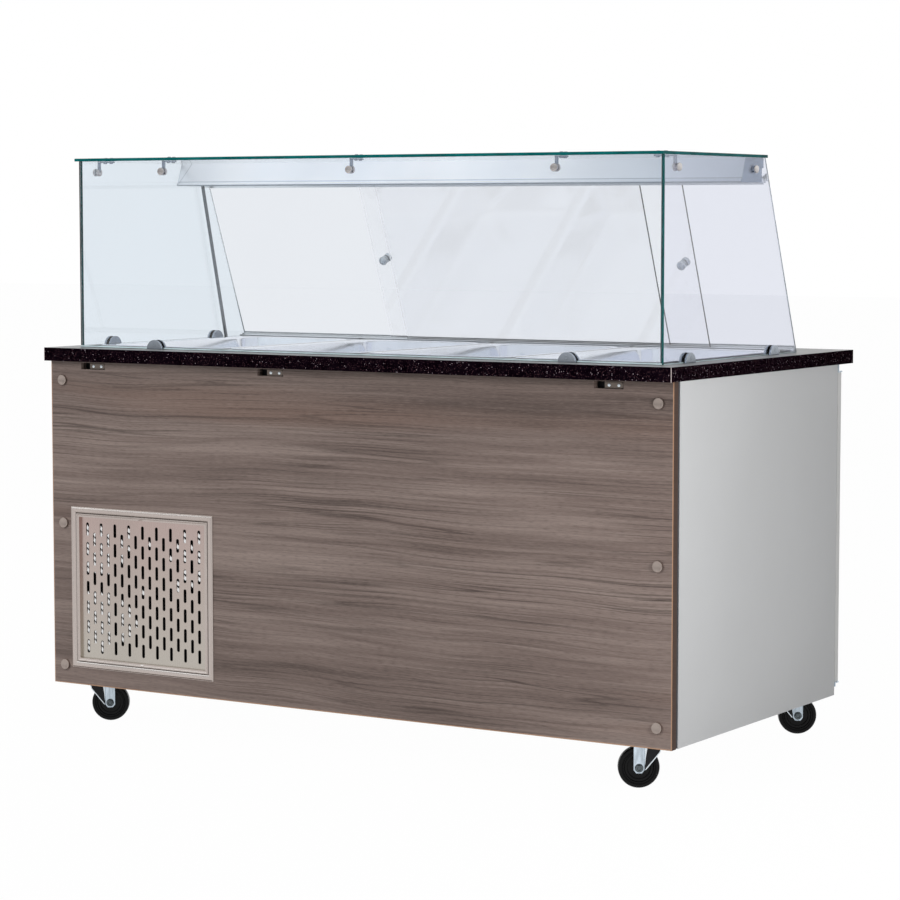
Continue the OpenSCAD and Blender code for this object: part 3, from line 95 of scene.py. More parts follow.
def mathNode(tree, operation, a, b=0.0):
    return addNode(tree, "Math", {0: a, 1: b}, operation=operation).outputs[0]


def times(tree, a, b):
    return mathNode(tree, "MULTIPLY", a, b)


def plus(tree, a, b):
    return mathNode(tree, "ADD", a, b)


def minus(tree, a, b):
    return mathNode(tree, "SUBTRACT", a, b)


def isBelow(tree, a, b):  # 1 where a is less than b, else 0
    return mathNode(tree, "LESS_THAN", a, b)


def isAbove(tree, a, b):
    return mathNode(tree, "GREATER_THAN", a, b)


def larger(tree, a, b):
    return mathNode(tree, "MAXIMUM", a, b)


def unsigned(tree, a):
    return mathNode(tree, "ABSOLUTE", a)


def axesOf(tree, vector):
    return addNode(tree, "SeparateXYZ", {"Vector": vector}).outputs


def mixColour(tree, factor, a, b):
    node = tree.nodes.new("ShaderNodeMix")
    node.data_type = "RGBA"
    for place, value in ((0, factor), (6, a), (7, b)):
        plug(tree, node.inputs[place], value)
    return node.outputs[2]


def blendValue(tree, factor, a, b):
    node = tree.nodes.new("ShaderNodeMix")
    for place, value in ((0, factor), (2, a), (3, b)):
        plug(tree, node.inputs[place], value)
    return node.outputs[0]


def ramp(tree, factor, stops):
    node = addNode(tree, "ValToRGB", {"Fac": factor})
    elements = node.color_ramp.elements
    while len(elements) < len(stops):
        elements.new(0.5)
    for element, (place, colour) in zip(elements, stops):
        element.position = place
        element.color = colour if isinstance(colour, tuple) else (colour, colour, colour, 1)
    return node.outputs["Color"]


def spread(tree, value, low, high):  # 0 to 1 carried onto low to high
    return addNode(tree, "MapRange", {"Value": value, "To Min": low, "To Max": high}).outputs[0]


def fromTo(tree, value, start, stop, low=0.0, high=1.0, smooth=False):
    # start to stop carried onto low to high
    ends = {"Value": value, "From Min": start, "From Max": stop, "To Min": low, "To Max": high}
    kind = "SMOOTHSTEP" if smooth else "LINEAR"
    return addNode(tree, "MapRange", ends, interpolation_type=kind).outputs[0]


def objectPoint(tree):
    return addNode(tree, "TexCoord").outputs["Object"]


def noise(tree, vector, scale, detail=3.0, drawn=(1, 1, 1), rough=0.5):
    drawnVector = addNode(tree, "VectorMath", {0: vector, 1: drawn}, operation="MULTIPLY").outputs[0]
    sockets = {"Vector": drawnVector, "Scale": scale, "Detail": detail, "Roughness": rough}
    return addNode(tree, "TexNoise", sockets).outputs["Fac"]


def newMaterial(name):
    material = bpy.data.materials.new(name)
    material.use_nodes = True
    tree = material.node_tree
    return material, tree, tree.nodes["Principled BSDF"]


def setSockets(shader, values):
    for key, value in values.items():
        shader.inputs[key].default_value = value


def addBump(tree, shader, height, strength, distance):
    bump = addNode(tree, "Bump", {"Height": height, "Strength": strength, "Distance": distance})
    tree.links.new(bump.outputs["Normal"], shader.inputs["Normal"])


# shared effects, as node groups that put out masks and values

def newGroup(name, inputs, outputs):
    group = bpy.data.node_groups.new(name, "ShaderNodeTree")
    for label, kind, value in inputs:
        socket = group.interface.new_socket(label, in_out="INPUT", socket_type="NodeSocket" + kind)
        if value is not None:
            socket.default_value = value
    for label in outputs:
        group.interface.new_socket(label, in_out="OUTPUT", socket_type="NodeSocketFloat")
    return group, group.nodes.new("NodeGroupInput").outputs, group.nodes.new("NodeGroupOutput").inputs


def makeClouding():
    # uneven tone and fine grit: coarse noise for patches, fine noise for the surface's tooth
    group, given, put = newGroup(
        "clouding",
        [("Vector", "Vector", None), ("Patch", "Float", 6.0), ("Tooth", "Float", 900.0)],
        ["Patches", "Grit"],
    )
    for label, size, detail in (("Patches", "Patch", 4.0), ("Grit", "Tooth", 2.0)):
        sockets = {"Vector": given["Vector"], "Scale": given[size], "Detail": detail}
        layer = addNode(group, "TexNoise", sockets)
        group.links.new(layer.outputs["Fac"], put[label])
    return group


def makeBrushing():
    # brushed metal: noise drawn out along one axis, fine lines over broad streaks
    group, given, put = newGroup(
        "brushing",
        [("Vector", "Vector", None), ("Stretch", "Vector", (1, 1, 60)), ("Fineness", "Float", 40.0),
         ("Broad", "Float", 5.0)],
        ["Lines", "Streaks"],
    )
    sockets = {0: given["Vector"], 1: given["Stretch"]}
    drawn = addNode(group, "VectorMath", sockets, operation="MULTIPLY").outputs[0]
    for label, size, detail in (("Lines", "Fineness", 5.0), ("Streaks", "Broad", 2.0)):
        layer = addNode(group, "TexNoise", {"Vector": drawn, "Scale": given[size], "Detail": detail})
        group.links.new(layer.outputs["Fac"], put[label])
    return group


def makeSpeckle():
    # stone chips: cells of a Voronoi pattern, kept where their random value is high and their middle is near
    group, given, put = newGroup(
        "speckle",
        [("Vector", "Vector", None), ("Scale", "Float", 300.0), ("Size", "Float", 0.35),
         ("Share", "Float", 0.85)],
        ["Mask", "Tint"],
    )
    cells = addNode(group, "TexVoronoi", {"Vector": given["Vector"], "Scale": given["Scale"]})
    chance = addNode(group, "SeparateColor", {"Color": cells.outputs["Color"]})
    near = isBelow(group, cells.outputs["Distance"], given["Size"])
    kept = isAbove(group, chance.outputs["Red"], given["Share"])
    group.links.new(times(group, near, kept), put["Mask"])
    group.links.new(chance.outputs["Green"], put["Tint"])
    return group


groups = {"clouding": makeClouding(), "brushing": makeBrushing(), "speckle": makeSpeckle()}


def groupNode(tree, name, sockets):
    node = addNode(tree, "Group", None, node_tree=groups[name])
    for key, value in sockets.items():
        plug(tree, node.inputs[key], value)
    return node.outputs


# painted, moulded and cast finishes

# columns: colour, roughness, unevenness, bump, scale of patches, scale of grit, and where they differ coat
# and gloss
plainFinishes = {
    "whiteSheet": (tone(196, 197, 198), 0.45, 0.03, 0.02, 2.5, 700),
    "framePaint": (tone(44, 44, 50), 0.5, 0.15, 0.05, 8, 500),
    "innerBoard": (tone(196, 195, 192), 0.5, 0.05, 0.03, 4, 800),
    "innerSheet": (tone(190, 192, 194), 0.4, 0.05, 0.02, 4, 800),
    "doorBoard": (tone(212, 212, 211), 0.38, 0.03, 0.02, 3, 900),
    "blackPlastic": (tone(30, 30, 32), 0.5, 0.25, 0.08, 14, 1200),
    "switchPlastic": (tone(24, 24, 26), 0.28, 0.15, 0.02, 20, 1500),
    "wheelRubber": (tone(7, 7, 8), 0.26, 0.3, 0.02, 40, 1400, 0.0, 0.2),
    "blackGasket": (tone(16, 16, 18), 0.5, 0.2, 0.05, 40, 1400, 0.0, 0.25),
    "foam": (tone(214, 200, 150), 0.9, 0.15, 0.5, 12, 260),
    "blackEnamel": (tone(26, 27, 30), 0.25, 0.2, 0.03, 10, 600, 0.6),
    "leverPlastic": (tone(176, 36, 30), 0.45, 0.1, 0.05, 30, 1200),
    "shroudSheet": (tone(58, 60, 66), 0.45, 0.15, 0.05, 8, 600),
    # near-black finish for painted shade: the castor forks' webs and the slots behind the tray plates
    "paintedShade": (tone(20, 22, 27), 0.4, 0.3, 0.05, 30, 600, 0.0, 0.3),
    "lampDiffuser": (tone(238, 240, 242), 0.6, 0.02, 0.02, 8, 900),
    # near-black condenser block: painted shade behind the bright fin strips
    "finPaintedShade": (tone(20, 20, 22), 0.6, 0.3, 0.05, 30, 900, 0.0, 0.2),
    "dialPrint": (tone(52, 54, 58), 0.5, 0.1, 0.02, 60, 900),
    "edgeDeep": (tone(2, 92, 92), 0.3, 0.3, 0.02, 22, 300, 0.0, 0.05),
    # pale glass edges: a painted highlight
    "edgePale": (tone(206, 226, 230), 0.15, 0.2, 0.02, 20, 300),
}


def makePlain(name, colour, rough, vary, bump, patch, tooth, coat=0.0, gloss=0.5):
    material, tree, shader = newMaterial(name)
    cloud = groupNode(tree, "clouding", {"Vector": objectPoint(tree), "Patch": patch, "Tooth": tooth})
    shade = ramp(tree, cloud["Patches"], [(0.3, scaled(colour, 1 - vary)), (0.7, scaled(colour, 1 + vary))])
    tree.links.new(shade, shader.inputs["Base Color"])
    tree.links.new(spread(tree, cloud["Grit"], rough - 0.06, rough + 0.06), shader.inputs["Roughness"])
    addBump(tree, shader, cloud["Grit"], bump, 0.0005)
    setSockets(shader, {"Coat Weight": coat, "Specular IOR Level": gloss})
    return material


# metal finishes: drawn streaks in colour, fine lines in roughness

# columns: colour, roughness, how the grain is drawn out, its fineness, its strength, and where it differs
# streak scale
metalFinishes = {
    "finBright": (tone(250, 250, 250), 0.16, (0.2, 1, 1), 500, 0.1),
    "capSteel": (tone(186, 172, 164), 0.36, (1, 1, 0.2), 500, 0.25),
    "bracketSteel": (tone(134, 123, 116), 0.35, (0.05, 1, 1), 600, 0.3),
    "wellSteel": (tone(205, 205, 204), 0.35, (0.03, 1, 1), 700, 0.2),
    "panSteel": (tone(246, 248, 252), 0.12, (1, 0.3, 1), 120, 0.12, 9.0),
    "brightSteel": (tone(215, 216, 218), 0.25, (1, 1, 0.03), 800, 0.2),
    "zincPlate": (tone(226, 240, 252), 0.22, (1, 1, 0.25), 200, 0.42, 120.0),
    "zincBright": (tone(236, 244, 250), 0.2, (1, 1, 0.5), 300, 0.15),
    "boltSteel": (tone(104, 112, 116), 0.22, (1, 1, 0.5), 300, 0.2),
    "clampChrome": (tone(172, 180, 190), 0.24, (1, 1, 0.3), 400, 0.2),
    "bossChrome": (tone(212, 208, 207), 0.2, (1, 1, 0.3), 400, 0.2),
    "knobChrome": (tone(214, 218, 220), 0.1, (1, 1, 0.3), 400, 0.1),
    "drainBrass": (tone(205, 170, 100), 0.35, (1, 1, 0.4), 300, 0.3),
    "motorMetal": (tone(170, 172, 174), 0.5, (1, 1, 1), 250, 0.4),
    "copperTube": (tone(206, 140, 106), 0.3, (1, 1, 1), 120, 0.4),
    "trackSatin": (tone(250, 252, 253), 0.3, (0.02, 1, 1), 700, 0.08),
    "postMetal": (tone(134, 138, 142), 0.35, (1, 1, 0.03), 700, 0.3),
}


grilleLook = dict(
    middle=(-511.5, 296.5), half=(188.5, 173.5), face=-392,
    # inset and height of the pressed rim, from its outer edge inwards
    profile=[(0, 0.4), (0.1, 0.6), (3.2, 3.6), (3.8, 3.7), (9.0, 3.0), (11.2, 2.4), (12.6, 1.2), (13.6, 1.2),
             (14.6, 2.6),
             (15.6, 2.8), (16.6, 2.6), (17.4, 1.4), (18.6, 0.9), (19.9, 0.4)],
)
grilleTones = dict(
    high=tone(200, 180, 174), low=tone(202, 195, 186), rim=tone(206, 194, 188), lit=tone(254, 250, 247),
    shaded=tone(160, 148, 142), foot=0.16, head=0.44,
)


def makeGrilleSteel():
    # satin sheet, a little pinker towards its top, with fine upright brushing; the raised rim is painted
    # lighter where it looks up and darker where it looks down, painted light and shade
    material, tree, shader = newMaterial("grilleSteel")
    point = objectPoint(tree)
    place = axesOf(tree, point)
    rise = fromTo(tree, place["Z"], grilleTones["foot"], grilleTones["head"])
    sockets = {"Vector": point, "Stretch": (1, 1, 0.03), "Fineness": 700.0, "Broad": 9.0}
    brush = groupNode(tree, "brushing", sockets)
    colour = mixColour(tree, rise, grilleTones["low"], grilleTones["high"])
    raised = isBelow(tree, place["Y"], grilleLook["face"] * mm - 0.0004)
    # painted light and shade on the rim, chosen by which way its surface faces
    normal = axesOf(tree, addNode(tree, "NewGeometry").outputs["Normal"])
    tilt = fromTo(tree, normal["Z"], -0.5, 0.5)
    stops = [(0.0, grilleTones["shaded"]), (0.5, grilleTones["rim"]), (1.0, grilleTones["lit"])]
    rimColour = ramp(tree, tilt, stops)
    colour = mixColour(tree, raised, colour, rimColour)
    worn = ramp(tree, brush["Streaks"], [(0.35, 0.0), (0.65, 0.16)])
    colour = mixColour(tree, worn, colour, scaled(grilleTones["low"], 0.7))
    tree.links.new(colour, shader.inputs["Base Color"])
    tree.links.new(spread(tree, brush["Lines"], 0.24, 0.32), shader.inputs["Roughness"])
    setSockets(shader, {"Metallic": 1.0})
    return material


def makeMetal(name, colour, rough, stretch, fineness, vary, broad=5.0):
    material, tree, shader = newMaterial(name)
    sockets = {"Vector": objectPoint(tree), "Stretch": stretch, "Fineness": fineness, "Broad": broad}
    brush = groupNode(tree, "brushing", sockets)
    shade = ramp(tree, brush["Streaks"], [(0.3, scaled(colour, 1 - vary)), (0.7, colour)])
    tree.links.new(shade, shader.inputs["Base Color"])
    roughness = spread(tree, brush["Lines"], rough * (1 - vary), rough * (1 + vary))
    tree.links.new(roughness, shader.inputs["Roughness"])
    addBump(tree, shader, brush["Lines"], 0.08, 0.0003)
    setSockets(shader, {"Metallic": 1.0})
    return material


boardLook = dict(
    low=tone(88, 75, 70), middle=tone(117, 102, 96), high=tone(142, 127, 120), warm=tone(127, 103, 92),
    # the end colour is painted shade on the cut ends and foot, and the arris colour a painted highlight along
    # the front edges
    vein=tone(46, 36, 32), edge=tone(52, 33, 22), arrisHighlight=tone(182, 142, 112),
    halfLength=0.751, face=-0.392, foot=0.086, arrisWidth=0.0018, arrisShare=0.7,
    swayScale=1.3, sway=0.05,
    # how each layer of grain is drawn out along X, and its share of the tone
    bandDraw=(0.5, 1, 9), streakDraw=(1.4, 1, 60), threadDraw=(6, 1, 330), poreDraw=(60, 1, 900),
    bandShare=0.45, streakShare=0.35, threadShare=0.24,
    # veins: how close they lie across the grain, how wide they are, how strong
    wideAcross=26, wideReach=0.014, fineAcross=90, fineReach=0.035, fineShare=0.75, veinShare=0.8,
    # height where the painted shadow under the worktop begins and ends, and its greatest share
    paintedShadowFrom=0.6, paintedShadowTo=0.782, paintedShadowMost=0.26,
)


def grainLines(tree, point, across, reach):
    # thin veins: where a noise drawn out along X crosses one half, within reach of it
    field = noise(tree, point, 1.0, 2.0, (0.55, 1, across))
    away = unsigned(tree, minus(tree, field, 0.5))
    return fromTo(tree, away, 0.0, reach, 1.0, 0.0)


def makeFrontBoard():
    # horizontal grain: broad bands, finer streaks and thin veins, all bent by a slow noise, with short pores
    look = boardLook
    material, tree, shader = newMaterial("grainedBoard")
    point = objectPoint(tree)
    place = axesOf(tree, point)
    slow = minus(tree, noise(tree, point, look["swayScale"], 2.0, (1, 1, 2)), 0.5)
    sway = times(tree, slow, look["sway"])
    bent = {"X": place["X"], "Z": plus(tree, place["Z"], sway)}
    bent = addNode(tree, "CombineXYZ", bent).outputs[0]
    bands = noise(tree, bent, 1.0, 3.0, look["bandDraw"])
    streaks = noise(tree, bent, 1.0, 4.0, look["streakDraw"], 0.6)
    threads = noise(tree, bent, 1.0, 3.0, look["threadDraw"], 0.6)
    pores = noise(tree, bent, 1.0, 2.0, look["poreDraw"])
    coarse = times(tree, bands, look["bandShare"])
    coarse = plus(tree, coarse, times(tree, streaks, look["streakShare"]))
    level = plus(tree, coarse, times(tree, threads, look["threadShare"]))
    face = ramp(tree, level, [(0.38, look["low"]), (0.5, look["middle"]), (0.62, look["high"])])
    warmth = ramp(tree, noise(tree, bent, 1.0, 2.0, (0.4, 1, 5)), [(0.56, 0.0), (0.66, 0.6)])
    face = mixColour(tree, warmth, face, look["warm"])
    fade = ramp(tree, noise(tree, bent, 1.0, 2.0, (1.6, 1, 7)), [(0.4, 0.1), (0.62, 1.0)])
    wide = grainLines(tree, bent, look["wideAcross"], look["wideReach"])
    fine = times(tree, grainLines(tree, bent, look["fineAcross"], look["fineReach"]), look["fineShare"])
    veins = times(tree, larger(tree, wide, fine), fade)
    veins = times(tree, veins, look["veinShare"])
    face = mixColour(tree, veins, face, look["vein"])
    # painted shadow: the board darkens towards its top, standing for the worktop's shadow
    shade = fromTo(tree, place["Z"], look["paintedShadowFrom"], look["paintedShadowTo"], 0.0, look["paintedShadowMost"])
    face = mixColour(tree, shade, face, look["vein"])
    face = mixColour(tree, ramp(tree, pores, [(0.3, 0.32), (0.5, 0.0)]), face, look["vein"])
    face = mixColour(tree, ramp(tree, pores, [(0.55, 0.0), (0.75, 0.3)]), face, look["high"])
    # painted shade: the cut ends and foot are dark brown; painted highlight: a lighter line along the front
    # edges at the ends and foot
    across = unsigned(tree, place["X"])
    endCut = isAbove(tree, across, look["halfLength"] - 0.0002)
    footCut = isBelow(tree, place["Z"], look["foot"] + 0.0002)
    nearEnd = isAbove(tree, across, look["halfLength"] - look["arrisWidth"])
    nearFoot = isBelow(tree, place["Z"], look["foot"] + look["arrisWidth"] + 0.0004)
    nearFace = isBelow(tree, place["Y"], look["face"] + 0.0012)
    arrisHighlight = times(tree, larger(tree, nearEnd, nearFoot), nearFace)
    edgeColour = mixColour(tree, streaks, look["edge"], scaled(look["edge"], 1.5))
    colour = mixColour(tree, larger(tree, endCut, footCut), face, edgeColour)
    colour = mixColour(tree, times(tree, arrisHighlight, look["arrisShare"]), colour, look["arrisHighlight"])
    tree.links.new(colour, shader.inputs["Base Color"])
    tree.links.new(spread(tree, threads, 0.45, 0.65), shader.inputs["Roughness"])
    addBump(tree, shader, minus(tree, threads, veins), 0.2, 0.0004)
    setSockets(shader, {"Specular IOR Level": 0.35})
    return material


topLook = dict(dark=tone(126, 127, 128), light=tone(140, 141, 142), fleck=tone(104, 102, 102))
edgingLook = dict(
    ground=tone(14, 6, 13), deep=tone(5, 1, 5), chip=tone(172, 158, 166), pink=tone(92, 64, 70),
    # the light corner colour is a painted highlight down the front corners
    grey=tone(50, 42, 48), cornerHighlight=tone(196, 184, 182), smallShare=0.6, chipShare=0.85,
    cornerX=0.755, cornerY=-0.411, cornerHighlightWidth=0.0009,
)


def makeWorktop():
    material, tree, shader = newMaterial("topLaminate")
    point = objectPoint(tree)
    cloud = groupNode(tree, "clouding", {"Vector": point, "Patch": 14.0, "Tooth": 600.0})
    shade = ramp(tree, cloud["Patches"], [(0.35, topLook["dark"]), (0.65, topLook["light"])])
    fleck = groupNode(tree, "speckle", {"Vector": point, "Scale": 420.0, "Size": 0.4, "Share": 0.8})
    colour = mixColour(tree, times(tree, fleck["Mask"], 0.3), shade, topLook["fleck"])
    tree.links.new(colour, shader.inputs["Base Color"])
    addBump(tree, shader, cloud["Grit"], 0.04, 0.0004)
    setSockets(shader, {"Roughness": 0.4})
    return material


def makeEdging():
    material, tree, shader = newMaterial("speckledEdging")
    point = objectPoint(tree)
    small = groupNode(tree, "speckle", {"Vector": point, "Scale": 560.0, "Size": 0.42, "Share": 0.74})
    large = groupNode(tree, "speckle", {"Vector": point, "Scale": 440.0, "Size": 0.36, "Share": 0.965})
    cloud = groupNode(tree, "clouding", {"Vector": point, "Patch": 60.0, "Tooth": 900.0})
    ground = ramp(tree, cloud["Patches"], [(0.3, edgingLook["deep"]), (0.7, edgingLook["ground"])])
    chips = mixColour(tree, small["Tint"], edgingLook["grey"], edgingLook["pink"])
    colour = mixColour(tree, times(tree, small["Mask"], edgingLook["smallShare"]), ground, chips)
    colour = mixColour(tree, times(tree, large["Mask"], edgingLook["chipShare"]), colour, edgingLook["chip"])
    place = axesOf(tree, point)
    # painted highlight: a light line down the front corners, where the end and front faces meet
    width = edgingLook["cornerHighlightWidth"]
    atEnd = isAbove(tree, unsigned(tree, place["X"]), edgingLook["cornerX"] - width)
    atFront = isBelow(tree, place["Y"], edgingLook["cornerY"] + width)
    colour = mixColour(tree, times(tree, atEnd, atFront), colour, edgingLook["cornerHighlight"])
    tree.links.new(colour, shader.inputs["Base Color"])
    addBump(tree, shader, cloud["Grit"], 0.03, 0.0003)
    setSockets(shader, {"Roughness": 0.6, "Specular IOR Level": 0.0})
    return material


canopyLook = dict(
    # the first two tones are painted lit and shaded tones of one sheet, the shaded one also darkening the
    # brushing streaks; the hem tone is painted shade for the hem line, foot band and crease; the plate tone
    # is painted shade on the end plates; the glow's strength and stops paint a glow on the long sides
    bright=tone(250, 252, 254), paintedShadeAndStreakTone=tone(222, 230, 240), plate=tone(168, 184, 200), hem=tone(150, 160, 170),
    paintedShadeFrom=0.2, paintedShadeTo=0.68, endAt=0.6965, footTop=1.159, hemTop=1.1655, lineWidth=0.0008,
    hemShare=0.5, footShare=0.75, creaseShare=0.6,
    creaseLow=(-0.6972, 1.157), creaseHigh=(-0.672, 1.2), paintedLight=0.48,
    paintedLightStops=[(0.0, 0.45), (0.14, 0.85), (0.3, 1.0), (0.5, 1.0), (0.7, 0.75), (0.88, 0.3), (1.0, 0.0)],
)


def makeCanopySteel():
    # brushed sheet with long soft streaks, and painted light: painted bright to the left and painted shade to
    # the right, painted shade on the end plates and along the hem, the foot and a crease; its long sides glow
    # a little, a painted glow standing in for reflected light
    material, tree, shader = newMaterial("canopySteel")
    point = objectPoint(tree)
    look = canopyLook
    place = axesOf(tree, point)
    # painted light: brighter towards -X, painted shade towards +X
    along = fromTo(tree, place["X"], look["paintedShadeFrom"], look["paintedShadeTo"])
    sockets = {"Vector": point, "Stretch": (1, 0.02, 0.3), "Fineness": 900.0, "Broad": 4.0}
    brush = groupNode(tree, "brushing", sockets)
    streak = ramp(tree, brush["Streaks"], [(0.35, 0.0), (0.65, 0.35)])
    blend = larger(tree, along, streak)
    colour = mixColour(tree, blend, look["bright"], look["paintedShadeAndStreakTone"])
    # painted shade: darker lines at the hem, along the foot and down the left end's crease
    fromHem = unsigned(tree, minus(tree, place["Z"], look["hemTop"]))
    hemMask = isBelow(tree, fromHem, look["lineWidth"] * 1.5)
    colour = mixColour(tree, times(tree, hemMask, look["hemShare"]), colour, look["hem"])
    footHem = isBelow(tree, place["Z"], look["footTop"])
    colour = mixColour(tree, times(tree, footHem, look["footShare"]), colour, look["hem"])
    (lowX, lowZ), (highX, highZ) = look["creaseLow"], look["creaseHigh"]
    rise = times(tree, minus(tree, place["Z"], lowZ), (highX - lowX) / (highZ - lowZ))
    away = unsigned(tree, minus(tree, place["X"], plus(tree, rise, lowX)))
    crease = isBelow(tree, away, look["lineWidth"])
    colour = mixColour(tree, times(tree, crease, look["creaseShare"]), colour, look["hem"])
    # painted shade: the end plates take a darker tone
    onPlate = isAbove(tree, unsigned(tree, place["X"]), look["endAt"])
    colour = mixColour(tree, onPlate, colour, look["plate"])
    tree.links.new(colour, shader.inputs["Base Color"])
    tree.links.new(spread(tree, brush["Lines"], 0.28, 0.42), shader.inputs["Roughness"])
    addBump(tree, shader, brush["Lines"], 0.06, 0.0003)
    # painted glow: emission, strongest left of the middle and patchy, stands in for light reflected off the
    # long sides
    share = fromTo(tree, place["X"], -look["endAt"], look["endAt"])
    paintedLight = ramp(tree, share, look["paintedLightStops"])
    patches = ramp(tree, noise(tree, point, 1.0, 2.0, (5, 0.5, 8)), [(0.35, 0.8), (0.65, 1.0)])
    paintedLight = times(tree, paintedLight, patches)
    paintedLight = times(tree, paintedLight, minus(tree, 1.0, onPlate))
    paintedLight = times(tree, paintedLight, minus(tree, 1.0, footHem))
    tree.links.new(mixColour(tree, paintedLight, (0, 0, 0, 1), colour), shader.inputs["Emission Color"])
    setSockets(shader, {"Metallic": 0.5, "Emission Strength": look["paintedLight"]})
    return material


# the sliding doors lean by 155 mm over a height of 396 mm
leanRun, leanRise = 155, 396
lean = math.atan(leanRun / leanRise)
leanInwards = np.array((0, -math.cos(lean), -math.sin(lean)))
leanUpwards = np.array((0, -math.sin(lean), math.cos(lean)))
# the panes are one glass: their colours through the faces are set pane by pane, darker for the front and the
# right end, as painted shade
glassLook = {  # direction across the pane, colour through its faces
    "glassFront": ((0, 1, 0), (0.82, 0.85, 0.894, 1)),
    "glassEndLeft": ((1, 0, 0), (0.92, 0.968, 0.99, 1)),
    "glassEndRight": ((1, 0, 0), (0.757, 0.781, 0.863, 1)),
    "glassTop": ((0, 0, 1), (0.93, 0.955, 0.97, 1)),
    "glassDoor": ((0, math.cos(lean), math.sin(lean)), (0.99, 0.99, 1.0, 1)),
}
# the sliding doors' edges are painted pale instead of sea green, a painted highlight
edgeTints = {"glassDoor": tone(246, 250, 251)}
commonEdge = tone(70, 140, 142)


def makeGlass(name, axis, pane):
    # nearly clear through its faces and sea green through its edges, told apart by the surface's direction
    material, tree, shader = newMaterial(name)
    direction = addNode(tree, "NewGeometry").outputs["Normal"]
    facing = addNode(tree, "VectorMath", {0: direction, 1: axis}, operation="DOT_PRODUCT").outputs["Value"]
    onEdge = isBelow(tree, unsigned(tree, facing), 0.5)
    smear = noise(tree, objectPoint(tree), 3.0, 2.0)
    body = mixColour(tree, smear, scaled(pane, 0.99), scaled(pane, 1.01))
    colour = mixColour(tree, onEdge, body, edgeTints.get(name, commonEdge))
    tree.links.new(colour, shader.inputs["Base Color"])
    setSockets(shader, {"Roughness": 0.0, "Transmission Weight": 1.0, "IOR": 1.45})
    return material


finishes = {name: makePlain(name, *values) for name, values in plainFinishes.items()}
finishes.update({name: makeMetal(name, *values) for name, values in metalFinishes.items()})
finishes.update({name: makeGlass(name, *values) for name, values in glassLook.items()})
finishes.update({
    "grainedBoard": makeFrontBoard(), "topLaminate": makeWorktop(), "speckledEdging": makeEdging(),
    "canopySteel": makeCanopySteel(), "grilleSteel": makeGrilleSteel(),
})
print("finishes:", len(finishes))

# which finish each CAD node wears
wears = {
    "topLaminate": ["worktop"],
    "speckledEdging": ["edge_band"],
    "grainedBoard": ["front_panel"],
    "capSteel": ["panel_caps"],
    "bracketSteel": ["tray_brackets"],
    "grilleSteel": ["vent_grille"],
    "whiteSheet": ["end_panel_left", "end_panel_right", "service_panel"],
    "framePaint": ["chassis_frame"],
    "innerBoard": ["base_floor", "shelf"],
    "innerSheet": ["bay_divider"],
    "blackPlastic": ["control_box", "fan"],
    "switchPlastic": ["power_switch", "light_switch", "thermostat_dial"],
    "doorBoard": ["rear_door_left", "rear_door_right"],
    "zincPlate": ["door_pivots", "castor_plates", "castor_fork_front_left", "castor_fork_front_right",
                  "castor_fork_rear_left", "castor_fork_rear_right"],
    "brightSteel": ["door_handle_left", "door_handle_right"],
    "wellSteel": ["well_tub", "pan_bars"],
    "panSteel": ["pan_1", "pan_2", "pan_3", "pan_4"],
    "foam": ["well_insulation"],
    "drainBrass": ["drain_pipe"],
    "leverPlastic": ["drain_lever"],
    "blackEnamel": ["compressor"],
    # the condenser block is near black, painted shade behind the bright fin strips
    "finPaintedShade": ["condenser"],
    "shroudSheet": ["fan_shroud"],
    "motorMetal": ["fan_motor"],
    "copperTube": ["refrigerant_pipes"],
    "glassFront": ["front_glass"],
    "glassEndLeft": ["end_glass_left"],
    "glassEndRight": ["end_glass_right"],
    "glassTop": ["top_glass"],
    "glassDoor": ["sliding_door_left", "sliding_door_right"],
    "clampChrome": ["foot_clamps", "glass_brackets"],
    "canopySteel": ["light_canopy"],
    "lampDiffuser": ["lamp"],
    "postMetal": ["conduit_post"],
    "trackSatin": ["door_tracks"],
    "knobChrome": ["door_knob_left", "door_knob_right"],
    "wheelRubber": ["wheel_front_left", "wheel_front_right", "wheel_rear_left", "wheel_rear_right"],
}
for finish, members in wears.items():
    for name in members:
        for materialSlot in nodes[name].material_slots:
            materialSlot.material = finishes[finish]
print("worn by", sum(len(members) for members in wears.values()), "nodes")


# surfaces, worked out as whole arrays

def joinRings(rings, closed=False):
    # loops of points in a row: each loop is joined to the next by quads, and the ends are filled or joined
    rings = np.asarray(rings, float)
    count, around = rings.shape[:2]
    index = np.arange(count * around).reshape(count, around)
    below, above = (index, np.roll(index, -1, 0)) if closed else (index[:-1], index[1:])
    quads = np.stack([below, np.roll(below, -1, 1), np.roll(above, -1, 1), above], -1).reshape(-1, 4)
    faces = quads.tolist()
    if not closed:
        faces += [index[0][::-1].tolist(), index[-1].tolist()]
    return rings.reshape(-1, 3), faces


def levelAxes(degrees):
    # a level direction, cosine and sine of its turn, and the one a quarter turn to its left
    turn = math.radians(degrees)
    return np.array((math.cos(turn), math.sin(turn), 0)), np.array((-math.sin(turn), math.cos(turn), 0))


def frameCorners(middle, half, growth):
    # the four corners of a rectangle, once for each amount that it grows by
    signs = np.array([(1, 1), (-1, 1), (-1, -1), (1, -1)])
    return [middle[axis] + signs[None, :, axis] * (half[axis] + growth[:, None]) for axis in (0, 1)]


def roundRect(halfX, halfY, radius, perCorner=6):
    # rectangle with quarter-circle corners: corner middle plus radius times cosine and sine
    turn = (np.arange(4)[:, None] * 90 + np.linspace(0, 90, perCorner)[None]) * math.pi / 180
    signX = np.array([1, -1, -1, 1])[:, None]
    signY = np.array([1, 1, -1, -1])[:, None]
    x = signX * (halfX - radius) + radius * np.cos(turn)
    y = signY * (halfY - radius) + radius * np.sin(turn)
    return np.stack([x, y], -1).reshape(-1, 2)


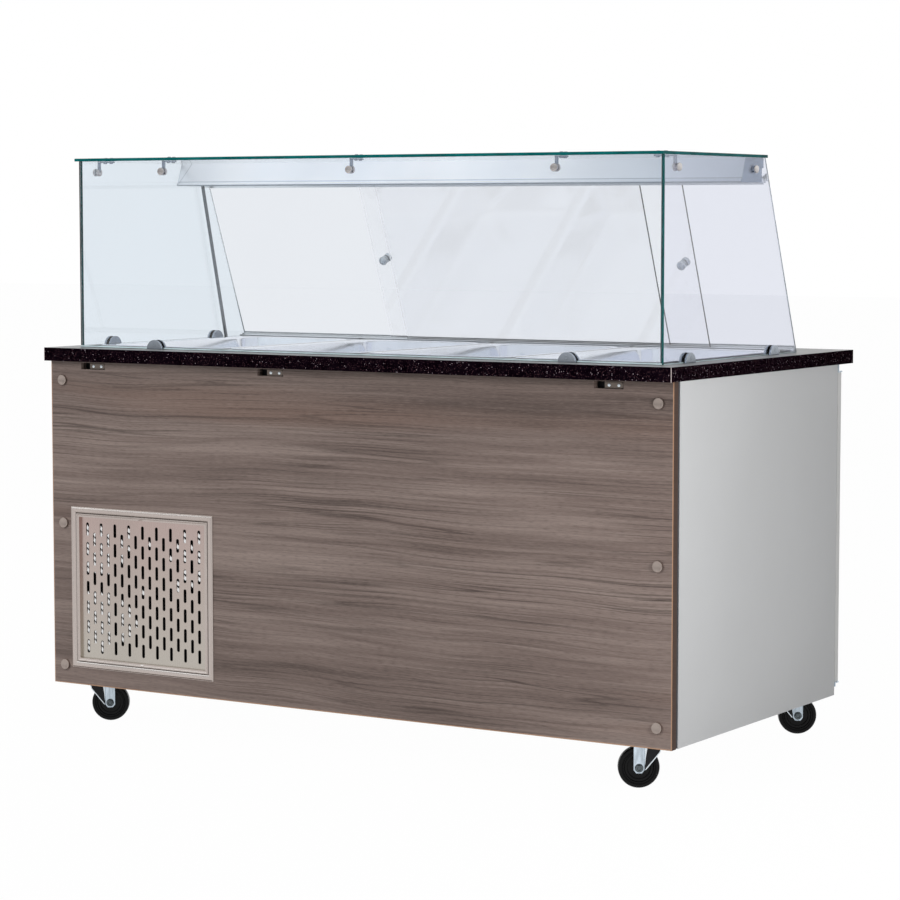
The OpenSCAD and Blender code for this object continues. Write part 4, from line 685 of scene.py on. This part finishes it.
def insetLoop(loop, depth):
    # each point moved inwards along the mitre of its two edges
    ahead = np.roll(loop, -1, 0) - loop
    ahead /= np.linalg.norm(ahead, axis=1)[:, None]
    behind = np.roll(ahead, 1, 0)
    area = np.sum(loop[:, 0] * np.roll(loop[:, 1], -1) - loop[:, 1] * np.roll(loop[:, 0], -1))
    inward = np.stack([-ahead[:, 1] - behind[:, 1], ahead[:, 0] + behind[:, 0]], -1) * np.sign(area)
    cosine = 1 + np.sum(ahead * behind, axis=1)
    return loop + depth * inward / np.maximum(cosine, 0.3)[:, None]


def slab(loop, low, high, bevel, origin=(0, 0, 0), axes=((1, 0, 0), (0, 1, 0), (0, 0, 1))):
    # a flat outline given thickness along the third axis, its rims bevelled
    loop = np.asarray(loop, float)
    small = insetLoop(loop, bevel)
    levels = [(small, low), (loop, low + bevel), (loop, high - bevel), (small, high)]
    local = np.stack([np.column_stack([ring, np.full(len(ring), level)]) for ring, level in levels])
    return joinRings((local @ np.asarray(axes, float) + np.asarray(origin, float)) * mm)


def brick(low, high, bevel):
    low, high = np.asarray(low, float), np.asarray(high, float)
    half = (high - low) / 2
    middle = (high + low) / 2
    return slab(roundRect(half[0], half[1], bevel, 3), -half[2], half[2], bevel, middle)


def turned(profile, origin, axis, steps=32, closed=False):
    # a profile of radius and height carried round an axis
    profile = np.asarray(profile, float)
    axis = np.asarray(axis, float) / np.linalg.norm(axis)
    side = np.cross(axis, (0, 0, 1) if abs(axis[2]) < 0.9 else (1, 0, 0))
    side /= np.linalg.norm(side)
    other = np.cross(axis, side)
    turn = np.linspace(0, 2 * math.pi, steps, endpoint=False)
    spoke = np.cos(turn)[:, None] * side + np.sin(turn)[:, None] * other
    rings = profile[:, 0, None, None] * spoke[None] + profile[:, 1, None, None] * axis
    return joinRings((rings + np.asarray(origin, float)) * mm, closed)


def domed(radius, height, edge, steps=5):
    # half profile of a round head: a straight wall, then a quarter curve of the edge's size to the middle
    turn = np.linspace(0, math.pi / 2, steps)
    curve = np.column_stack([radius - edge + edge * np.cos(turn), height - edge + edge * np.sin(turn)])
    return np.vstack([[0, 0], [radius, 0], curve, [0, height]])


def makePiece(name, shells, finish, body, replaced=(), sharp=34):
    vertices, faces, start = [], [], 0
    for points, polygons in shells:
        vertices.append(points)
        faces += [[corner + start for corner in polygon] for polygon in polygons]
        start += len(points)
    mesh = bpy.data.meshes.new(name)
    mesh.from_pydata(np.concatenate(vertices).tolist(), [], faces)
    work = bmesh.new()
    work.from_mesh(mesh)
    bmesh.ops.remove_doubles(work, verts=work.verts, dist=1e-6)
    bmesh.ops.recalc_face_normals(work, faces=work.faces)
    work.to_mesh(mesh)
    work.free()
    mesh.shade_smooth()
    mesh.set_sharp_from_angle(angle=math.radians(sharp))
    mesh.materials.append(finishes[finish])
    piece = bpy.data.objects.new(name, mesh)
    bpy.context.collection.objects.link(piece)
    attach(piece, body)
    if replaced:
        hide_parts(*replaced)
    return piece


capLook = dict(xs=(-720, 720), zs=(127, 434, 741), face=-392, radius=11, height=5, edge=1.6, dish=0.5)


def makeCaps():
    look = capLook
    rim = look["radius"] - 2.4
    profile = domed(look["radius"], look["height"], look["edge"])[:-1]
    low = look["height"] - look["dish"]
    profile = np.vstack([profile, [rim, look["height"]], [rim - 0.8, low], [0, low]])
    shells = [turned(profile, (x, look["face"], z), (0, -1, 0), 40) for x in look["xs"] for z in look["zs"]]
    makePiece("screwCaps", shells, "capSteel", "body", ["panel_caps"])


trayLook = dict(
    xs=(-637, -174, 612), left=-10.5, right=31.5, low=765.5, high=778.5, face=-389, back=-374,
    screwRadius=3.6,
)


def makeTrayPlates():
    # a plate with a round right end, a pressed rim and two round-headed screws, and a thin dark sheet behind,
    # painted shade in the slot
    look = trayLook
    middleZ = (look["low"] + look["high"]) / 2
    halfZ = (look["high"] - look["low"]) / 2
    plates, screws, backs = [], [], []
    for x in look["xs"]:
        left, right = x + look["left"], x + look["right"]
        turn = np.linspace(-math.pi / 2, math.pi / 2, 12)
        end = np.column_stack([right - halfZ + halfZ * np.cos(turn), middleZ + halfZ * np.sin(turn)])
        loop = np.vstack([[left, look["low"]], end, [left, look["high"]]])
        axes = ((1, 0, 0), (0, 0, 1), (0, -1, 0))
        plates.append(slab(loop, -look["back"], -look["face"], 0.7, (0, 0, 0), axes))
        inner = insetLoop(loop, 1.6)
        plates.append(slab(inner, -look["face"] - 0.2, -look["face"] + 0.5, 0.3, (0, 0, 0), axes))
        backs.append(brick((x - 31.5, -375.5, look["low"]), (right, look["back"], look["high"]), 0.3))
        for share in (0.25, 0.75):
            place = (right - share * (look["right"] - look["left"]), look["face"] + 0.2, middleZ)
            screws.append(turned(domed(look["screwRadius"], 1.9, 1.5), place, (0, -1, 0), 20))
            screws.append(slab(roundRect(2.6, 0.45, 0.3, 3), 0, 2.0, 0.1, place, axes))
    makePiece("trayPlates", plates, "bracketSteel", "body", ["tray_brackets"])
    makePiece("traySlotBacks", backs, "paintedShade", "body")
    makePiece("trayScrews", screws, "zincBright", "body")


finLook = dict(
    front=-385.4, depth=1.9, skin=0.4, width=7.6, pitch=13.0, period=18.6, swing=6.2,
    firstSlot=-660.3, slotPitch=18.6, step=3.1,
    # first and last column of slots, counted from the left, and the height from and to
    bands=[(1, 4, 150, 302), (1, 4, 331, 440), (6, 6, 176, 292), (6, 6, 345, 420), (7, 7, 195, 270),
           (7, 7, 375, 440), (8, 8, 205, 248), (9, 9, 280, 312), (9, 9, 366, 382), (10, 10, 386, 420),
           (13, 13, 322, 336), (13, 13, 362, 396), (14, 14, 302, 334), (14, 14, 386, 420), (15, 15, 325, 440),
           (16, 16, 312, 332), (16, 16, 386, 420), (17, 17, 325, 440)],
)


def makeGrilleRim():
    # pressed frame: a profile of inset and height carried round a rectangle with mitred corners
    look = grilleLook
    profile = np.array(look["profile"])
    x, z = frameCorners(look["middle"], look["half"], -profile[:, 0])
    y = look["face"] - profile[:, 1, None] + 0 * x
    frame = joinRings(np.stack([x, y, z], -1) * mm, closed=True)
    makePiece("grilleRim", [frame], "grilleSteel", "body", sharp=20)


def makeFins():
    # each fin is a polished strip, leaning back at its top, that runs along X and swings as a triangle wave
    look = finLook
    half = look["width"] / 2
    corners = [(0, -1), (look["depth"], 1), (look["depth"] + look["skin"], 1), (look["skin"], -1)]
    shells = []
    for first, last, low, high in look["bands"]:
        left = look["firstSlot"] + (first - 1.5) * look["slotPitch"]
        right = look["firstSlot"] + (last - 0.5) * look["slotPitch"]
        x = np.linspace(left, right, int((right - left) / look["step"]) + 2)
        wave = look["swing"] * (2 * np.abs(2 * ((x / look["period"]) % 1) - 1) - 1)
        start = look["pitch"] * math.ceil((low + look["swing"]) / look["pitch"])
        for level in np.arange(start, high - look["swing"], look["pitch"]):
            z = level + wave
            edges = []
            for deep, side in corners:
                edges.append(np.column_stack([x, np.full(len(x), look["front"] + deep), z + side * half]))
            shells.append(joinRings(np.stack(edges, 1) * mm))
    makePiece("condenserFins", shells, "finBright", "body")


panLook = dict(
    middles=(-519, -173, 173, 519), middleY=-49, halfX=162.5, halfY=265, rimRadius=14,
    top=814.8, rimLow=811.8, wallX=148.5, wallRadius=45, floor=715.8, draft=6, sheet=1, neck=5, foot=16,
    roll=1.3, rollInset=0.9, lipInset=2.2, lipRise=0.6, cornerRise=16, drainReach=70, floorFall=0.2,
)


def makePan(name, nodeName, body, middleX):
    # loops of a rounded rectangle: up the outside from the floor, round the rolled rim, down the inside
    look = panLook
    loops = []

    def loop(insetX, level, radius):
        outline = roundRect(look["halfX"] - insetX, look["halfY"] - insetX, radius, 10)
        loops.append(np.column_stack([outline, np.full(len(outline), level)]))

    rimWidth = look["halfX"] - look["wallX"]
    foot, sheet = look["foot"], look["sheet"]
    quarter = np.linspace(0, math.pi / 2, 6)
    base = rimWidth + look["draft"]
    for turn in quarter:  # outside of the floor's curve
        under = look["floor"] - sheet + foot - foot * math.cos(turn)
        loop(base - sheet + foot - foot * math.sin(turn), under, look["wallRadius"] - 4)
    loop(rimWidth - sheet, look["rimLow"] - 1, look["wallRadius"] + sheet)
    loop(rimWidth - sheet - 0.4, look["rimLow"] + look["lipRise"], look["wallRadius"])
    loop(look["lipInset"], look["rimLow"] + look["lipRise"], look["rimRadius"] - 1)
    loop(look["rollInset"], look["rimLow"] + 0.1, look["rimRadius"])
    for turn in np.linspace(-math.pi / 2, math.pi / 2, 7):  # rolled edge
        level = look["top"] - 1.45 + 1.4 * math.sin(turn)
        loop(look["roll"] - look["roll"] * math.cos(turn), level, look["rimRadius"])
    loop(2 * look["roll"], look["top"] - 0.5, look["rimRadius"])
    loop(rimWidth - look["neck"] - 1.5, look["top"] - 0.6, look["rimRadius"] + look["cornerRise"])
    for turn in quarter:  # neck from the rim into the wall
        inset = rimWidth - look["neck"] + look["neck"] * math.sin(turn)
        loop(inset, look["top"] - 0.7 - look["neck"] + look["neck"] * math.cos(turn), look["wallRadius"])
    for turn in quarter[::-1]:  # inside of the floor's curve
        level = look["floor"] + foot - foot * math.cos(turn)
        loop(base + foot - foot * math.sin(turn), level, look["wallRadius"] - 4)
    loop(base + look["drainReach"], look["floor"] - look["floorFall"], 20)
    rings = np.stack(loops) + (middleX, look["middleY"], 0)
    makePiece(name, [joinRings(rings * mm)], "panSteel", body, [nodeName], sharp=60)


for number, (body, middleX) in enumerate(zip(("pan_a", "pan_b", "pan_c", "pan_d"), panLook["middles"]), 1):
    makePan(f"foodPan{number}", f"pan_{number}", body, middleX)
makeCaps()
makeTrayPlates()
makeGrilleRim()
makeFins()
print("front fittings and pans made")


clampLook = dict(
    radius=20, foot=810, glass=6, gap=0.3, thick=7, gasket=1.8, boltHeight=10,
    places=[((-500, -347), 90), ((500, -347), 90), ((-700.5, -244), 0), ((-700.5, 126), 0),
            ((700.5, -244), 0), ((700.5, 126), 0)],
    ring=[(2.2, 0), (4.2, 0), (4.2, 0.25), (3.9, 0.4), (2.5, 0.4), (2.2, 0.2)],
)


def makeClamps():
    # half-moons on both faces of the glass: a black gasket under a bright bevelled plate with a socket ring
    look = clampLook
    arc = np.linspace(0, math.pi, 25)
    moon = np.column_stack([look["radius"] * np.cos(arc), look["radius"] * np.sin(arc)])
    gaskets, plates = [], []
    for (x, y), turn in look["places"]:
        across, along = levelAxes(turn)
        for side in (-1, 1):
            axes = (along, (0, 0, 1), side * across)
            origin = (x, y, look["foot"])
            inner = look["glass"] / 2 + look["gap"]
            outer = inner + look["thick"]
            gaskets.append(slab(insetLoop(moon, 0.2), inner, inner + look["gasket"], 0.2, origin, axes))
            plates.append(slab(moon, inner + look["gasket"] - 0.1, outer, 0.9, origin, axes))
            bolt = np.asarray(origin) + np.array((0, 0, look["boltHeight"])) + side * across * (outer - 0.05)
            plates.append(turned(look["ring"], bolt, side * across, 24, closed=True))
    makePiece("clampGaskets", gaskets, "blackGasket", "body", ["foot_clamps"])
    makePiece("clampPlates", plates, "clampChrome", "body")


bracketLook = dict(
    under=1206, drop=23, glass=6, gap=0.3, bossRadius=8, bossThick=6, stem=6,
    armWidth=9, armThick=2.5, armLength=44, screws=(20, 36), headRadius=4, headHeight=2,
    places=[((-481, -344), 0), ((-6, -344), 0), ((469, -344), 0), ((697.5, -291), 90), ((-697.5, -291), -90)],
    canopyScrews=[(703.8, 40, 1183, 1), (-703.8, 40, 1183, -1)],
)


def bossProfile(radius, height):
    # round boss with a chamfered shoulder and a raised button in its middle
    # steps inwards from the rim and down from the top
    steps = [(0, 1.8), (0.6, 0.9), (2.2, 0.5), (4.0, 0.5), (4.4, 0.1), (5.2, 0)]
    top = [(radius - inwards, height - down) for inwards, down in steps]
    return [(0, 0), (radius - 1.2, 0), (radius, 1.0), *top, (0, height)]


def makeBrackets():
    look = bracketLook
    bosses, arms = [], []
    for (x, y), turn in look["places"]:
        sideways, inwards = levelAxes(turn)
        origin = np.array((x, y, look["under"]), float)
        bossPoint = origin - (0, 0, look["drop"])
        thick, gap = look["bossThick"], look["gap"]
        profile = bossProfile(look["bossRadius"], thick)
        bosses.append(turned(profile, bossPoint - inwards * (look["glass"] + gap), -inwards, 32))
        bosses.append(turned(profile, bossPoint + inwards * gap, inwards, 32))
        axes = (sideways, inwards, (0, 0, 1))
        stemLoop = roundRect(look["stem"] / 2, look["stem"] / 2, 1.2, 4) + (0, gap + look["stem"] / 2)
        arms.append(slab(stemLoop, -look["drop"], -gap, 0.5, origin, axes))
        armLoop = roundRect(look["armWidth"] / 2, (look["armLength"] - gap) / 2, 3.6, 6)
        armLoop = armLoop + (0, (look["armLength"] + gap) / 2)
        arms.append(slab(armLoop, -gap - look["armThick"], -gap, 0.5, origin, axes))
        for reach in look["screws"]:
            place = origin + inwards * reach
            head = domed(look["headRadius"], look["headHeight"], 1.4)
            arms.append(turned(head, place - (0, 0, gap + look["armThick"] - 0.05), (0, 0, -1), 20))
            arms.append(turned(head, place + (0, 0, look["glass"] + gap), (0, 0, 1), 20))
    for x, y, z, side in look["canopyScrews"]:
        bosses.append(turned(bossProfile(look["bossRadius"], look["bossThick"]), (x, y, z), (side, 0, 0), 32))
        bosses.append(turned(domed(5.6, 4, 1), (x - side * 8.1, y, z), (-side, 0, 0), 6))
    makePiece("bracketBosses", bosses, "bossChrome", "body", ["glass_brackets"])
    makePiece("bracketArms", arms, "clampChrome", "body")


knobLook = dict(
    left=("sliding_left", "door_knob_left", -256, 6.5), right=("sliding_right", "door_knob_right", 483, 16.0),
    foot=(243, 810), rise=202, half=2.5, neck=3.9,
    # radius and height of one side, from the glass outwards
    side=[(4, 0), (8.4, 0.3), (8.8, 0.8), (8.8, 1.4), (8, 2), (5.2, 2.8), (4.6, 4.4), (4.8, 6.6),
          (6.8, 8), (9.4, 9), (9.8, 10), (9.8, 11.2), (9, 12.4), (7.6, 13), (6.4, 12.6), (0, 12.2)],
)


def makeKnobs():
    # spool: disc, waist and rounded button on both faces of a leaning door
    look = knobLook
    for side in ("left", "right"):
        body, nodeName, x, depth = look[side]
        centre = np.array((x, look["foot"][0], look["foot"][1]))
        centre = centre + leanUpwards * look["rise"] + leanInwards * depth
        shells = []
        for sign in (-1, 1):
            start = centre + sign * leanInwards * look["half"]
            shells.append(turned(np.vstack([[0, 0], look["side"]]), start, sign * leanInwards, 36))
        neck = np.array([(0, -1), (look["neck"], -1), (look["neck"], 1), (0, 1)]) * (1, look["half"])
        shells.append(turned(neck, centre, leanInwards, 20))
        makePiece(f"{side}DoorKnob", shells, "knobChrome", body, [nodeName])


# polished edges of the panes, a thin skin on each cut edge
edgeSkin = 0.25
endPane = (697.7, 703.3)
topPane = dict(
    middle=(0, -135.5), half=(708, 223.5),
    # growth and height of the rim's low section
    section=[(0, 1206.3), (edgeSkin, 1206.6), (edgeSkin, 1211.4), (0, 1211.7), (-0.2, 1211.6),
             (-0.2, 1206.4)],
)
uprightEdges = {  # name: low corner, high corner
    "frontGlassEdgeRight": ((703.5, -349.8, 811), (703.5 + edgeSkin, -344.2, 1205.5)),
    "frontGlassEdgeLeft": ((-703.5 - edgeSkin, -349.8, 811), (-703.5, -344.2, 1205.5)),
    "endGlassEdgeRight": ((697.7, -343.5 - edgeSkin, 811), (703.3, -343.5, 1205.5)),
    "endGlassEdgeLeft": ((-703.3, -343.5 - edgeSkin, 811), (-697.7, -343.5, 1205.5)),
}
footBeads = {  # thin seal under the front pane, and the bright foot of each pane above it
    "dark": [((-703, -350.7, 810), (703, -350.1, 810.7))],
    # pale strips: painted highlights at the feet of the panes
    "pale": [((-703, -350.25, 811.0), (703, -350, 813.6)), ((703.5, -343, 810.2), (703.75, 242, 812)),
             ((-703.75, -343, 810.2), (-703.5, 242, 812))],
}


def leaningStrip(x0, x1, depth0, depth1, rise0, rise1):
    # a strip in the plane of the leaning doors: depth runs inwards from the end glass's edge, rise up its
    # slope
    corners = np.array([(x0, depth0), (x1, depth0), (x1, depth1), (x0, depth1)])
    foot = (0, knobLook["foot"][0], knobLook["foot"][1])
    base = corners[:, 0, None] * (1, 0, 0) + corners[:, 1, None] * leanInwards + foot
    return joinRings(np.stack([base + rise0 * leanUpwards, base + rise1 * leanUpwards]) * mm)


def makeGlassEdges():
    shells = [brick(low, high, 0.08) for low, high in uprightEdges.values()]
    makePiece("uprightEdges", shells, "edgeDeep", "body")
    beads = [brick(low, high, 0.15) for low, high in footBeads["dark"]]
    makePiece("glassFootSeal", beads, "blackGasket", "body")
    paintedLight = [brick(low, high, 0.08) for low, high in footBeads["pale"]]
    makePiece("glassFootShine", paintedLight, "edgePale", "body")
    # the top glass's rim: a low section carried round its four sides
    section = np.array(topPane["section"])
    x, y = frameCorners(topPane["middle"], topPane["half"], section[:, 0])
    z = section[:, 1, None] + 0 * x
    frame = joinRings(np.stack([x, y, z], -1) * mm, closed=True)
    makePiece("topGlassRim", [frame], "edgeDeep", "body", sharp=50)
    length = leanRise / math.cos(lean)
    inner, outer = endPane
    # pale strips along the end panes' rear edges: painted highlights
    rear = [leaningStrip(side * inner, side * outer, -edgeSkin, 0, 3, length - 2) for side in (-1, 1)]
    makePiece("endGlassRearEdges", rear, "edgePale", "body")


makeClamps()
makeBrackets()
makeKnobs()
makeGlassEdges()
print("glass fittings made")


castorLook = {  # pivot's place and heading in degrees
    "front_left": (-683, -333, 32), "front_right": (683, -333, 212),
    "rear_left": (-648, 311, 32), "rear_right": (648, 311, 32),
}
wheelLook = dict(
    trail=30, height=40, steps=72,
    # radius and height of one half of its section, hub to tread
    half=[(4.05, 13.2), (9.5, 13.2), (10.6, 12.4), (11.2, 9.2), (12.6, 8.4), (20.4, 7.2), (21.8, 7.6),
          (22.6, 9.4), (24.2, 9.9), (27.2, 9.6), (28.0, 11.2), (28.6, 11.7), (30.4, 11.7), (31.2, 10.6),
          (32.2, 10.6), (33.0, 11.9), (36.0, 12.2), (38.0, 11.6), (39.3, 10.2), (39.9, 8.2), (40.0, 5.0),
          (40.0, 0.0)],
)
forkLook = dict(
    inner=14.5, outer=17,
    strip=[(-10.5, 88.5), (-10.5, 36), (-5.5, 29.5), (5.5, 29.5), (10.5, 36), (10.5, 80), (6, 88.5)],
    web=[(-45.5, 88.5), (-45.5, 85), (-40.5, 70), (-24.5, 50), (-12.5, 35.5), (-10, 36), (-10, 88.5)],
    lip=[(-45.5, 88.5), (-45.5, 85), (-40.5, 70), (-24.5, 50), (-12.5, 35.5),
         (-11.4, 37.4), (-22.8, 51.4), (-38.6, 71), (-43.4, 85.6), (-43.4, 88.5)],
    rib=[(-10.6, 88.5), (-10.6, 46), (-11.4, 44), (-13, 60), (-17.5, 88.5)],
    # turned parts, radius and height
    washer=[(0, 0), (8.4, 0), (8.4, 0.5), (7.9, 0.9), (0, 0.9)],
    nut=[(0, 0), (7.4, 0), (7.4, 4), (6.4, 5), (4.4, 5), (3.8, 4.4), (3.8, 2.4), (0, 2.2)],
    axle=[(0, -17), (3.9, -17), (3.9, 17), (0, 17)],
    crown=[(5.1, 88), (23, 88), (24, 88.8), (24, 90.4), (23.2, 91.2), (5.1, 91.2)],
    collar=[(5.1, 90.8), (16, 90.8), (16, 94.2), (15.4, 94.7), (5.1, 94.7)],
    bridge=dict(halfX=20, halfY=17, radius=3, ahead=4, low=88.4, high=90.9),
)


def makeWheel(corner, centre, axis):
    half = np.array(wheelLook["half"])
    profile = np.vstack([half, half[-2::-1] * (1, -1)])
    tyre = turned(profile, centre, axis, wheelLook["steps"], closed=True)
    body = f"castor_wheel_{corner}"
    makePiece(f"wheel.{corner}", [tyre], "wheelRubber", body, [f"wheel_{corner}"], sharp=28)


def makeFork(corner, pivotX, pivotY, degrees, body):
    # two legs of strip and strut, a crown over the wheel, a king-pin collar, and the axle's bolt with its nut
    forward, sideways = levelAxes(degrees)
    look = forkLook
    axle = np.array((pivotX, pivotY, 0)) + wheelLook["trail"] * forward
    shells, webs, ribs, bolts = [], [], [], []
    for side in (-1, 1):
        axes = (forward, (0, 0, 1), side * sideways)
        shells.append(slab(look["strip"], look["inner"], look["outer"], 0.4, axle, axes))
        webs.append(slab(look["web"], look["inner"] + 0.4, look["outer"] - 0.9, 0.3, axle, axes))
        ribs.append(slab(look["lip"], look["outer"] - 1, look["outer"], 0.3, axle, axes))
        ribs.append(slab(look["rib"], look["outer"] - 1, look["outer"] + 0.6, 0.5, axle, axes))
        height = np.array((0, 0, wheelLook["height"]))
        place = axle + height + side * sideways * (look["outer"] - 0.05)
        bolts.append(turned(look["washer"], place, side * sideways, 28))
        bolts.append(turned(look["nut"], place + side * sideways * 0.85, side * sideways, 6))
    bolts.append(turned(look["axle"], axle + (0, 0, wheelLook["height"]), sideways, 20))
    pivot = np.array((pivotX, pivotY, 0))
    shells.append(turned(look["crown"], pivot, (0, 0, 1), 48, closed=True))
    bridge = look["bridge"]
    outline = roundRect(bridge["halfX"], bridge["halfY"], bridge["radius"], 4) + (bridge["ahead"], 0)
    shells.append(slab(outline, bridge["low"], bridge["high"], 0.4, pivot, (forward, sideways, (0, 0, 1))))
    shells.append(turned(look["collar"], pivot, (0, 0, 1), 40, closed=True))
    makePiece(f"fork.{corner}", shells, "zincPlate", body, [f"castor_fork_{corner}"])
    # the webs are near black, painted shade on the fork's shaded sides
    makePiece(f"forkWebs.{corner}", webs, "paintedShade", body)
    makePiece(f"forkRibs.{corner}", ribs, "zincBright", body)
    makePiece(f"axleBolt.{corner}", bolts, "boltSteel", body)
    return axle, sideways


for corner, (pivotX, pivotY, degrees) in castorLook.items():
    axle, sideways = makeFork(corner, pivotX, pivotY, degrees, f"castor_{corner}")
    makeWheel(corner, axle + (0, 0, wheelLook["height"]), sideways)
print("castors made")


handleLook = dict(
    places=(("cupboard_left", "door_handle_left", 190.5), ("cupboard_right", "door_handle_right", 270.5)),
    y=384, doorFace=361, low=479.5, high=639.5, radius=5, inset=10,
    foot=[(0, 0), (7, 0), (7, 0.8), (5.4, 1.8), (4.2, 3.4), (4, 5.5)], post=4,
)


def makeHandles():
    # round bar with domed ends on two posts with flared feet
    look = handleLook
    radius, length = look["radius"], look["high"] - look["low"]
    reach = look["y"] - look["doorFace"]
    post = [*look["foot"], (look["post"], reach), (0, reach)]
    dome = np.linspace(0, math.pi / 2, 6)
    lower = np.column_stack([radius * np.sin(dome), radius - radius * np.cos(dome)])
    bar = np.vstack([lower, lower[::-1] * (1, -1) + (0, length)])
    for body, nodeName, x in look["places"]:
        shells = [turned(bar, (x, look["y"], look["low"]), (0, 0, 1), 32)]
        for z in (look["low"] + look["inset"], look["high"] - look["inset"]):
            shells.append(turned(post, (x, look["doorFace"], z), (0, 1, 0), 28))
        name = nodeName.replace("door_", "") + "Bar"
        makePiece(name, shells, "brightSteel", body, [nodeName])


dialLook = dict(x=-502, z=670, face=361, inner=26, outer=30, longOuter=33, count=28, sweep=270, start=-135)


def makeDialScale():
    # printed strokes round the dial, every fourth one longer
    look = dialLook
    middle = (look["x"], look["face"], look["z"])
    turn = np.radians(look["start"] + np.linspace(0, look["sweep"], look["count"] + 1))
    shells = []
    for place, angle in enumerate(turn):
        outwards = np.array((math.sin(angle), 0, math.cos(angle)))
        aside = np.array((math.cos(angle), 0, -math.sin(angle)))
        outer = look["longOuter"] if place % 4 == 0 else look["outer"]
        loop = roundRect(0.5, (outer - look["inner"]) / 2, 0.2, 2) + (0, (outer + look["inner"]) / 2)
        shells.append(slab(loop, 0, 0.2, 0.05, middle, (aside, outwards, (0, 1, 0))))
    makePiece("dialScale", shells, "dialPrint", "body")


makeHandles()
makeDialScale()
print("rear fittings made")


stageLook = dict(
    floorShow=0.985, floorGloss=0.6, floorColour=tone(205, 205, 205), floorHalf=30.0,
    skyLight=0.6, endSide=0.12, darkSide=0.42,
)


def makeFloor():
    # the floor shows nearly white to the eye and through glass with a faint shadow, and less bright in gloss
    material, tree, shader = newMaterial("floorPale")
    output = tree.nodes["Material Output"]
    tree.nodes.remove(shader)
    matt = addNode(tree, "BsdfDiffuse", {"Color": stageLook["floorColour"]})
    glow = addNode(tree, "Emission", {"Color": (1, 1, 1, 1), "Strength": 1.0})
    rays = addNode(tree, "LightPath").outputs
    seen = larger(tree, rays["Is Camera Ray"], rays["Is Transmission Ray"])
    plain = times(tree, seen, stageLook["floorShow"])
    factor = larger(tree, plain, times(tree, rays["Is Glossy Ray"], stageLook["floorGloss"]))
    blend = addNode(tree, "MixShader", {0: factor, 1: matt.outputs[0], 2: glow.outputs[0]})
    tree.links.new(blend.outputs[0], output.inputs["Surface"])
    size = stageLook["floorHalf"]
    mesh = bpy.data.meshes.new("floor")
    corners = [(-size, -size, 0), (size, -size, 0), (size, size, 0), (-size, size, 0)]
    mesh.from_pydata(corners, [], [(0, 1, 2, 3)])
    mesh.materials.append(material)
    floor = bpy.data.objects.new("floor", mesh)
    bpy.context.collection.objects.link(floor)


def makeSky():
    # white to the eye and through glass; in gloss a room bright above and dim at the customer's horizon; as
    # light dimmer to +X
    world = bpy.data.worlds.new("studio")
    bpy.context.scene.world = world
    world.use_nodes = True
    tree = world.node_tree
    shader = tree.nodes["Background"]
    rays = addNode(tree, "LightPath").outputs
    direction = axesOf(tree, objectPoint(tree))
    height = fromTo(tree, direction["Z"], 0.0, 0.45, stageLook["darkSide"], 1.0, True)
    behind = fromTo(tree, direction["Y"], -0.1, 0.3)
    room = larger(tree, height, behind)
    skyLight = stageLook["skyLight"]
    light = fromTo(tree, direction["X"], -0.1, 0.7, skyLight, skyLight * stageLook["endSide"])
    plain = larger(tree, rays["Is Camera Ray"], rays["Is Transmission Ray"])
    strength = blendValue(tree, rays["Is Glossy Ray"], light, room)
    strength = blendValue(tree, plain, strength, 1.0)
    shader.inputs["Color"].default_value = (1, 1, 1, 1)
    tree.links.new(strength, shader.inputs["Strength"])


lamps = {  # place, aimed at, size, watts
    "keySoft": ((-2.6, -4.8, 3.2), (0, 0, 0.45), 2.6, 170),
    "sideSoft": ((1.85, -0.95, 0.8), (0.75, -0.2, 0.5), 0.3, 12.6),
    "topSoft": ((0.2, 0.4, 4.6), (0, 0, 0.8), 3.0, 60),
}


def makeLamps():
    for name, (place, aim, size, watts) in lamps.items():
        data = bpy.data.lights.new(name, "AREA")
        data.size = size
        data.energy = watts
        lamp = bpy.data.objects.new(name, data)
        bpy.context.collection.objects.link(lamp)
        lamp.location = place
        lamp.rotation_euler = (Vector(aim) - Vector(place)).to_track_quat("-Z", "Y").to_euler()
        lamp.visible_glossy = False
        lamp.visible_transmission = False


# solved from the photo's straight edges
cameraLook = dict(
    lens=112.52, sensor=36.0, shift=(-0.0031, 0.0041), clip=(0.1, 100), place=(3.1784, -5.0444, 1.0908),
    pitch=85.164, turn=32.057,
)


def makeCamera():
    look = cameraLook
    data = bpy.data.cameras.new("photoCamera")
    data.lens, data.sensor_width = look["lens"], look["sensor"]
    data.shift_x, data.shift_y = look["shift"]
    data.clip_start, data.clip_end = look["clip"]
    camera = bpy.data.objects.new("photoCamera", data)
    bpy.context.collection.objects.link(camera)
    camera.location = look["place"]
    camera.rotation_euler = (math.radians(look["pitch"]), 0, math.radians(look["turn"]))
    bpy.context.scene.camera = camera


makeFloor()
makeSky()
makeLamps()
makeCamera()
bpy.context.scene.view_settings.view_transform = "Standard"
print("stage ready")
